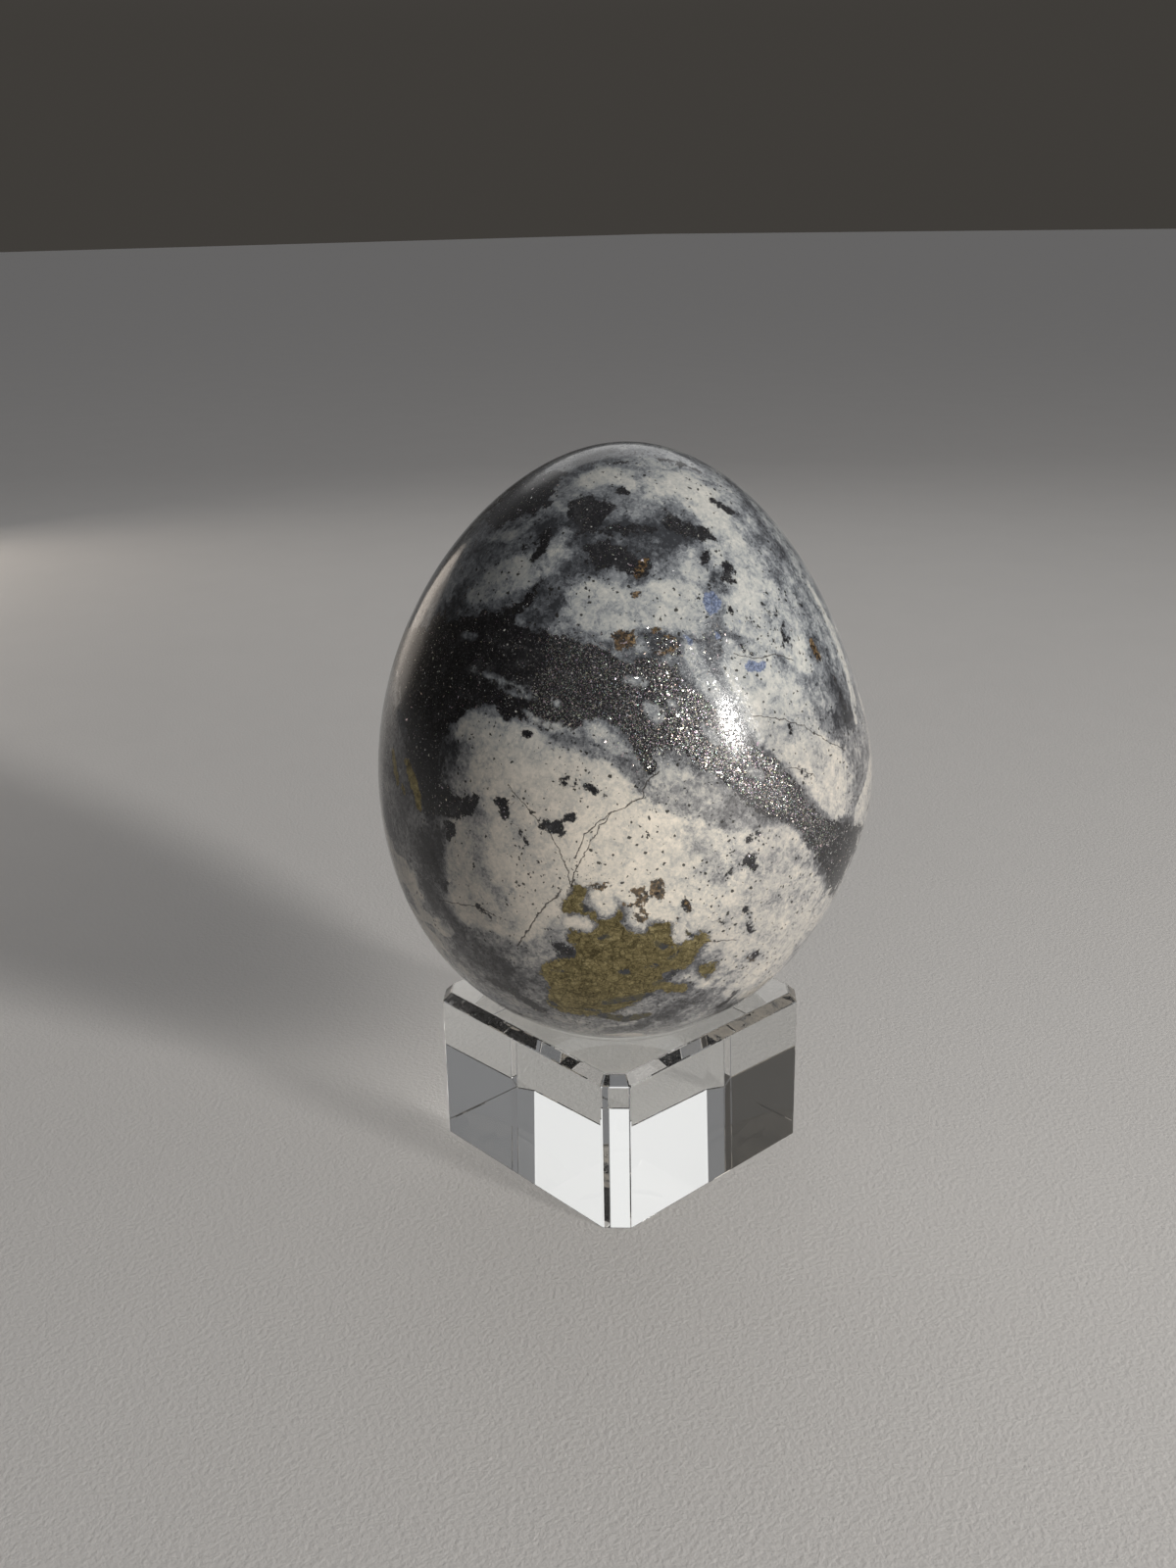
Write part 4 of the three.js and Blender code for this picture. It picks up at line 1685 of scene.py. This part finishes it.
@dataclass
class StoneEgg:
    """The polished egg: its form in millimetres, its minerals and its cracks.

    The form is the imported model's. The polish loss keeps its finer surface within that model's corners. A
    swell fills one flank below the middle, and the tip leans the same way. A mineral's reach is measured
    as far as the reach limit. Past the egg's limb it grows with the limb fade, so that what the
    photograph shows ends.
    """

    camera: PhotoCamera
    effects: EffectKit
    width: float = 50.35
    taper: float = 0.09
    point: float = 0.046
    tip_lean: float = 1.2
    swell_rise: float = 1.48
    swell_level: float = -0.11
    swell_spread: float = 0.34
    lean_bearing: float = 47.6
    polish_loss: float = 0.02
    cuts: int = 119
    reach_limit: float = 9.0
    drift_waves: tuple[tuple[float, float], ...] = ((11.0, 5.5), (4.0, 2.2))
    limb_fold: float = -0.35
    limb_fade: float = 26.0
    field_margin: float = 0.05
    glance_level: float = 0.6

    def __post_init__(self) -> None:
        """Takes the egg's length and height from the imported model."""
        low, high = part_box("stone_egg")
        self.top = high.z
        self.base = low.z * PER_METRE
        self.length = (high.z - low.z) * PER_METRE

    def surface(self, bearing: float, level: float) -> Vector:
        """Gives a point on the egg.

        Args:
            bearing: The direction from the egg's axis, in radians from +X.
            level: The height, from -1 at the blunt end to 1 at the tip.

        Returns:
            The point in millimetres in the part's frame.
        """
        side = math.radians(self.lean_bearing)
        oval = math.sqrt(max(0.0, 1.0 - level ** 2))
        radius = self.width / 2 * oval * (1.0 - self.taper * level - self.point * level ** 3)
        rise = math.exp(-(((level - self.swell_level) / self.swell_spread) ** 2))
        radius += self.swell_rise * oval * rise * max(0.0, math.cos(bearing - side)) ** 2
        radius = max(0.0, radius - self.polish_loss * oval)
        lean = self.tip_lean * ((level + 1.0) / 2) ** 3
        return Vector((
            radius * math.cos(bearing) + lean * math.cos(side),
            radius * math.sin(bearing) + lean * math.sin(side),
            self.base + self.length / 2 * (1.0 + level),
        ))

    def shape(self) -> bmesh.types.BMesh:
        """Shapes a finely divided cube into the egg.

        Returns:
            The egg's bmesh, in metres.
        """
        egg = bmesh.new()
        bmesh.ops.create_cube(egg, size=2.0)
        bmesh.ops.subdivide_edges(egg, edges=egg.edges[:], cuts=self.cuts, use_grid_fill=True)
        for vertex in egg.verts:
            spread = Vector([math.tan(c * math.pi / 4) for c in vertex.co]).normalized()
            vertex.co = self.surface(math.atan2(spread.y, spread.x), spread.z) * MM
        bmesh.ops.recalc_face_normals(egg, faces=egg.faces[:])
        for face in egg.faces:
            face.smooth = True
        return egg

    def spot(self, tree: BVHTree, across: float, down: float) -> tuple[Vector, Vector]:
        """Finds the point on the egg that the photograph shows at a pixel.

        Args:
            tree: The egg's surface.
            across: The pixel's column.
            down: The pixel's row.

        Returns:
            The point in millimetres and the surface normal there. Where the pixel lies just outside the
            egg, it is the nearest point.
        """
        start = Vector(self.camera.place) * MM
        aim = self.camera.ray(across, down)
        place, normal, _, _ = tree.ray_cast(start, aim)
        if place is None:
            centre = Vector((0.0, 0.0, self.top * self.glance_level))
            passing = start + aim * (centre - start).dot(aim)
            place, normal, _, _ = tree.find_nearest(passing)
        return place * PER_METRE, normal

    def lay_minerals(self, piece: bpy.types.Object, tree: BVHTree) -> None:
        """Writes each mineral's reach, the distance to its edge, to the surface.

        Args:
            piece: The egg.
            tree: The egg's surface.
        """
        mesh = piece.data
        points = self.read_rows(mesh.vertices, "co") * PER_METRE
        normals = self.read_rows(mesh.vertex_normals, "vector")
        pixels, depth = self.camera.project(points)
        sight = np.array(self.camera.place) - points
        facing = np.einsum("ij,ij->i", normals, sight) / np.linalg.norm(sight, axis=1)
        past_limb = np.where(facing > self.limb_fold, -facing, 1.0).clip(0.0) * self.limb_fade
        drifted = points + self.drift(points) * (facing / self.limb_fold).clip(0.0, 1.0)[:, None]
        for mineral in Mineral:
            reach = np.full(len(points), self.reach_limit)
            for outline in SHOWN_OUTLINES.get(mineral, ()):
                gap = self.outline_distance(pixels, np.array(outline, float)) * depth / self.camera.focal_px
                reach = np.minimum(reach, gap + past_limb)
            for field in HIDDEN_FIELDS.get(mineral, ()):
                shown = (facing + self.field_margin).clip(0.0) * self.limb_fade
                reach = np.minimum(reach, field.reach(points) + shown)
            for stroke in SHOWN_DEPOSITS.get(mineral, ()):
                chain = [(self.spot(tree, x, y)[0], width) for x, y, width in stroke]
                reach = np.minimum(reach, self.distance(points, chain))
            for stroke in HIDDEN_DEPOSITS.get(mineral, ()):
                chain = [(self.surface(math.radians(b), level), width) for b, level, width in stroke]
                reach = np.minimum(reach, self.distance(drifted, chain))
            layer = mesh.attributes.new(mineral.value, "FLOAT", "POINT")
            layer.data.foreach_set("value", reach.astype(np.float32))

    def drift(self, points: np.ndarray) -> np.ndarray:
        """Works out how far the hidden side's deposits wander from their lines, in long and short waves.

        Args:
            points: The points in millimetres, one to a row.

        Returns:
            The shifts, one to a row.
        """
        shift = np.zeros_like(points)
        for wave, throw in self.drift_waves:
            shift += throw * np.array([noise.noise_vector(Vector(point) / wave) for point in points])
        return shift

    @staticmethod
    def read_rows(source: bpy.types.bpy_prop_collection, name: str) -> np.ndarray:
        """Reads a vector property of every item of a mesh collection.

        Args:
            source: The collection.
            name: The property.

        Returns:
            The vectors, one to a row.
        """
        values = np.zeros(len(source) * 3)
        source.foreach_get(name, values)
        return values.reshape(-1, 3)

    @staticmethod
    def outline_distance(pixels: np.ndarray, outline: np.ndarray) -> np.ndarray:
        """Measures how far pixels lie from a closed outline.

        Args:
            pixels: The pixels, one to a row.
            outline: The outline's corners in order.

        Returns:
            The distances in pixels, negative inside the outline.
        """
        nearest = np.full(len(pixels), np.inf)
        inside = np.zeros(len(pixels), bool)
        for start, end in zip(outline, np.roll(outline, -1, axis=0)):
            line, offset = end - start, pixels - start
            share = np.clip(offset @ line / (line @ line), 0.0, 1.0)
            nearest = np.minimum(nearest, np.linalg.norm(offset - share[:, None] * line, axis=1))
            crosses = (start[1] > pixels[:, 1]) != (end[1] > pixels[:, 1])
            rise = line[1] if line[1] else 1.0
            inside ^= crosses & (offset[:, 0] < line[0] * offset[:, 1] / rise)
        return np.where(inside, -nearest, nearest)

    @staticmethod
    def distance(points: np.ndarray, chain: list[tuple[Vector, float]]) -> np.ndarray:
        """Measures how far points lie from a chain of round blobs.

        Args:
            points: The points, one to a row.
            chain: The blobs' centres and radii in order.

        Returns:
            The distances, negative inside the chain.
        """
        nearest = np.full(len(points), np.inf)
        for (start, wide), (end, narrow) in zip(chain, chain[1:]):
            line = np.array(end - start)
            offset = points - np.array(start)
            share = np.clip(offset @ line / max(line @ line, 1e-9), 0.0, 1.0)
            gap = np.linalg.norm(offset - share[:, None] * line, axis=1) - (wide + (narrow - wide) * share)
            nearest = np.minimum(nearest, gap)
        return nearest

    def crack_stretches(self, tree: BVHTree) -> list[CrackStretch]:
        """Places the cracks on the surface.

        Args:
            tree: The egg's surface.

        Returns:
            Their straight stretches.
        """
        made = []
        for half_width, pixels in CRACKS:
            spots = [self.spot(tree, x, y) for x, y in pixels]
            for (start, up_start), (end, up_end) in zip(spots, spots[1:]):
                along = (end - start).normalized()
                across = along.cross((up_start + up_end).normalized()).normalized()
                half_length = (end - start).length / 2
                made.append(CrackStretch((start + end) / 2, along, across, half_length, half_width))
        return made

    def build(self) -> bpy.types.Object:
        """Builds and dresses the egg.

        Returns:
            The egg.
        """
        egg = self.shape()
        tree = BVHTree.FromBMesh(egg)
        piece = mesh_object("polished_egg", egg)
        self.lay_minerals(piece, tree)
        piece.data.materials.append(PolishedStone().material(self.effects, self.crack_stretches(tree)))
        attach(piece, "egg")
        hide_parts("stone_egg")
        return piece


@dataclass
class GlassStand:
    """The clear block with its ground dish, in millimetres and degrees.

    The arris is the fine edge that polishing leaves. It is cut where faces meet at more than the arris
    angle, and the shading breaks where they meet at more than the crease angle.
    """

    corner_bevel: float = 2.1
    top_bevel: float = 0.95
    dish_ball: float = 50.0
    dish_rim: float = 24.0
    arris: float = 0.14
    arris_cuts: int = 2
    arris_angle: float = 12.0
    crease_angle: float = 8.0
    ball_sides: int = 288
    ball_rings: int = 288

    def __post_init__(self) -> None:
        """Takes the block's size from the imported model."""
        self.low, self.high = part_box("glass_stand")

    def pick(self, shape: bmesh.types.BMesh, edges: BlockEdges) -> list[bmesh.types.BMEdge]:
        """Picks the block's upright edges or those round its top face.

        Args:
            shape: The block.
            edges: Which edges are wanted.

        Returns:
            The edges.
        """
        if edges is BlockEdges.UPRIGHT:
            return [e for e in shape.edges if abs(e.verts[0].co.z - e.verts[1].co.z) > MM]
        return [e for e in shape.edges if all(abs(v.co.z - self.high.z) < MM / 10 for v in e.verts)]

    def block(self) -> bmesh.types.BMesh:
        """Shapes the block with its bevels.

        Returns:
            The block's bmesh, in metres.
        """
        shape = bmesh.new()
        size = self.high - self.low
        place = Matrix.Translation((self.high + self.low) / 2) @ Matrix.Diagonal((*size, 1.0))
        bmesh.ops.create_cube(shape, size=1.0, matrix=place)
        for edges, leg in ((BlockEdges.UPRIGHT, self.corner_bevel), (BlockEdges.TOP_RIM, self.top_bevel)):
            bmesh.ops.bevel(shape, geom=self.pick(shape, edges), offset=leg * MM, offset_type="OFFSET",
                            segments=1, profile=0.5, affect="EDGES", material=-1)
        bmesh.ops.recalc_face_normals(shape, faces=shape.faces[:])
        return shape

    def ball(self) -> bmesh.types.BMesh:
        """Shapes the ball that the dish is ground with.

        Returns:
            The ball's bmesh, in metres.
        """
        radius, rim = self.dish_ball / 2 * MM, self.dish_rim / 2 * MM
        centre = Vector((0.0, 0.0, self.high.z + math.sqrt(radius ** 2 - rim ** 2)))
        shape = bmesh.new()
        bmesh.ops.create_uvsphere(shape, u_segments=self.ball_sides, v_segments=self.ball_rings,
                                  radius=radius, matrix=Matrix.Translation(centre))
        return shape

    def build(self) -> bpy.types.Object:
        """Builds and dresses the stand.

        Returns:
            The stand.
        """
        piece = mesh_object("glass_block", self.block())
        ball = mesh_object("dish_ball", self.ball())
        cut = piece.modifiers.new("dish", "BOOLEAN")
        cut.operation = "DIFFERENCE"
        cut.solver = "EXACT"
        cut.object = ball
        ease = piece.modifiers.new("arris", "BEVEL")
        ease.width = self.arris * MM
        ease.segments = self.arris_cuts
        ease.limit_method = "ANGLE"
        ease.angle_limit = math.radians(self.arris_angle)
        settle_modifiers(piece)
        bpy.data.objects.remove(ball)
        for polygon in piece.data.polygons:
            polygon.use_smooth = True
        piece.data.set_sharp_from_angle(angle=math.radians(self.crease_angle))
        piece.data.materials.clear()
        piece.data.materials.append(ClearGlass().material())
        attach(piece, "stand")
        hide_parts("glass_stand")
        return piece


@dataclass(frozen=True)
class Softbox:
    """A soft light, an ellipse in outline, that points at the egg.

    The azimuth runs round the egg from 0 towards -Y, with 90 towards +X. Angles are in degrees and
    lengths in metres. The glow is the light's brightness, whatever its size.
    """

    name: str
    azimuth: float
    elevation: float
    reach: float
    width: float
    height: float
    glow: float
    colour: Colour
    aim_height: float = 0.045

    def build(self) -> bpy.types.Object:
        """Hangs the light.

        Returns:
            The light.
        """
        data = bpy.data.lights.new(self.name, "AREA")
        data.shape = "ELLIPSE"
        data.size = self.width
        data.size_y = self.height
        area = math.pi / 4 * self.width * self.height
        data.energy = math.pi * area * self.glow
        data.color = self.colour
        light = bpy.data.objects.new(self.name, data)
        turn, rise = math.radians(self.azimuth), math.radians(self.elevation)
        level = math.cos(rise)
        towards = Vector((math.sin(turn) * level, -math.cos(turn) * level, math.sin(rise)))
        light.location = Vector((0.0, 0.0, self.aim_height)) + towards * self.reach
        light.rotation_mode = "QUATERNION"
        light.rotation_quaternion = (-towards).to_track_quat("-Z", "Y")
        light.visible_camera = False
        bpy.context.scene.collection.objects.link(light)
        return light


@dataclass(frozen=True)
class Studio:
    """A pale floor, a key light from one side, dim cards and a surround that is darker on one side.

    The dim side is a direction, and the dim span is how squarely a view faces it where the dimness starts
    and where it is full. The sky span is the height of the view where the surround overhead starts and is
    full.
    """

    floor_half: float = 8.0
    floor_drop_mm: float = 0.04
    surround_low: Colour = (0.050, 0.046, 0.041)
    surround_high: Colour = (0.19, 0.19, 0.195)
    dim_side: Triple = (-0.62, -0.73, 0.28)
    dim_span: tuple[float, float] = (0.45, 0.90)
    sky_span: tuple[float, float] = (0.10, 0.40)
    softboxes: tuple[Softbox, ...] = (
        Softbox("key", 99.0, 13.5, 0.60, 0.075, 0.12, 140.0, (1.0, 0.965, 0.92)),
        Softbox("back_card", 228.0, 33.0, 0.42, 0.38, 0.20, 0.70, (1.0, 0.99, 0.975)),
        Softbox("left_card", 262.0, 5.0, 0.42, 0.09, 0.15, 0.65, (1.0, 0.87, 0.74)),
        Softbox("left_haze", 268.0, 4.0, 0.44, 0.20, 0.17, 0.68, (1.0, 0.90, 0.80)),
    )

    def floor(self) -> bpy.types.Object:
        """Makes the floor, a hair below the glass as the air under a real block is.

        Returns:
            The floor.
        """
        shape = bmesh.new()
        drop = Matrix.Translation(Vector((0.0, 0.0, -self.floor_drop_mm * MM)))
        bmesh.ops.create_grid(shape, x_segments=1, y_segments=1, size=self.floor_half, matrix=drop)
        floor = mesh_object("floor", shape)
        floor.data.materials.append(PaleTable().material())
        return floor

    def surround(self) -> bpy.types.World:
        """Makes the surround, which is dim near the horizon and lighter overhead.

        Returns:
            The world.
        """
        world = bpy.data.worlds.new("surround")
        world.use_nodes = True
        g = Graph(world.node_tree)
        view = g.node("ShaderNodeTexCoord").outputs["Generated"]
        height = g.node("ShaderNodeSeparateXYZ")
        g.feed(height.inputs["Vector"], view)
        facing = g.vector("DOT_PRODUCT", view, self.dim_side, output="Value")
        overhead = g.blend(g.step(facing, *self.dim_span), self.surround_high, self.surround_low)
        sky = g.step(height.outputs["Z"], *self.sky_span)
        backdrop = next(n for n in world.node_tree.nodes if n.type == "BACKGROUND")
        g.feed(backdrop.inputs["Color"], g.blend(sky, self.surround_low, overhead))
        return world

    def build(self) -> None:
        """Makes the floor, the lights and the surround."""
        self.floor()
        for softbox in self.softboxes:
            softbox.build()
        scene = bpy.context.scene
        scene.world = self.surround()
        scene.view_settings.view_transform = "Standard"


def main() -> None:
    """Builds the scene, piece by piece."""
    logging.basicConfig(level=logging.INFO, format="%(name)s: %(message)s")
    noise.seed_set(NOISE_SEED)
    camera = PhotoCamera()
    camera.set_up()
    effects = EffectKit()
    for builder in (GlassStand(), StoneEgg(camera, effects)):
        piece = builder.build()
        LOG.info("%s has %d faces", piece.name, len(piece.data.polygons))
    Studio().build()


if __name__ == "__main__":
    main()
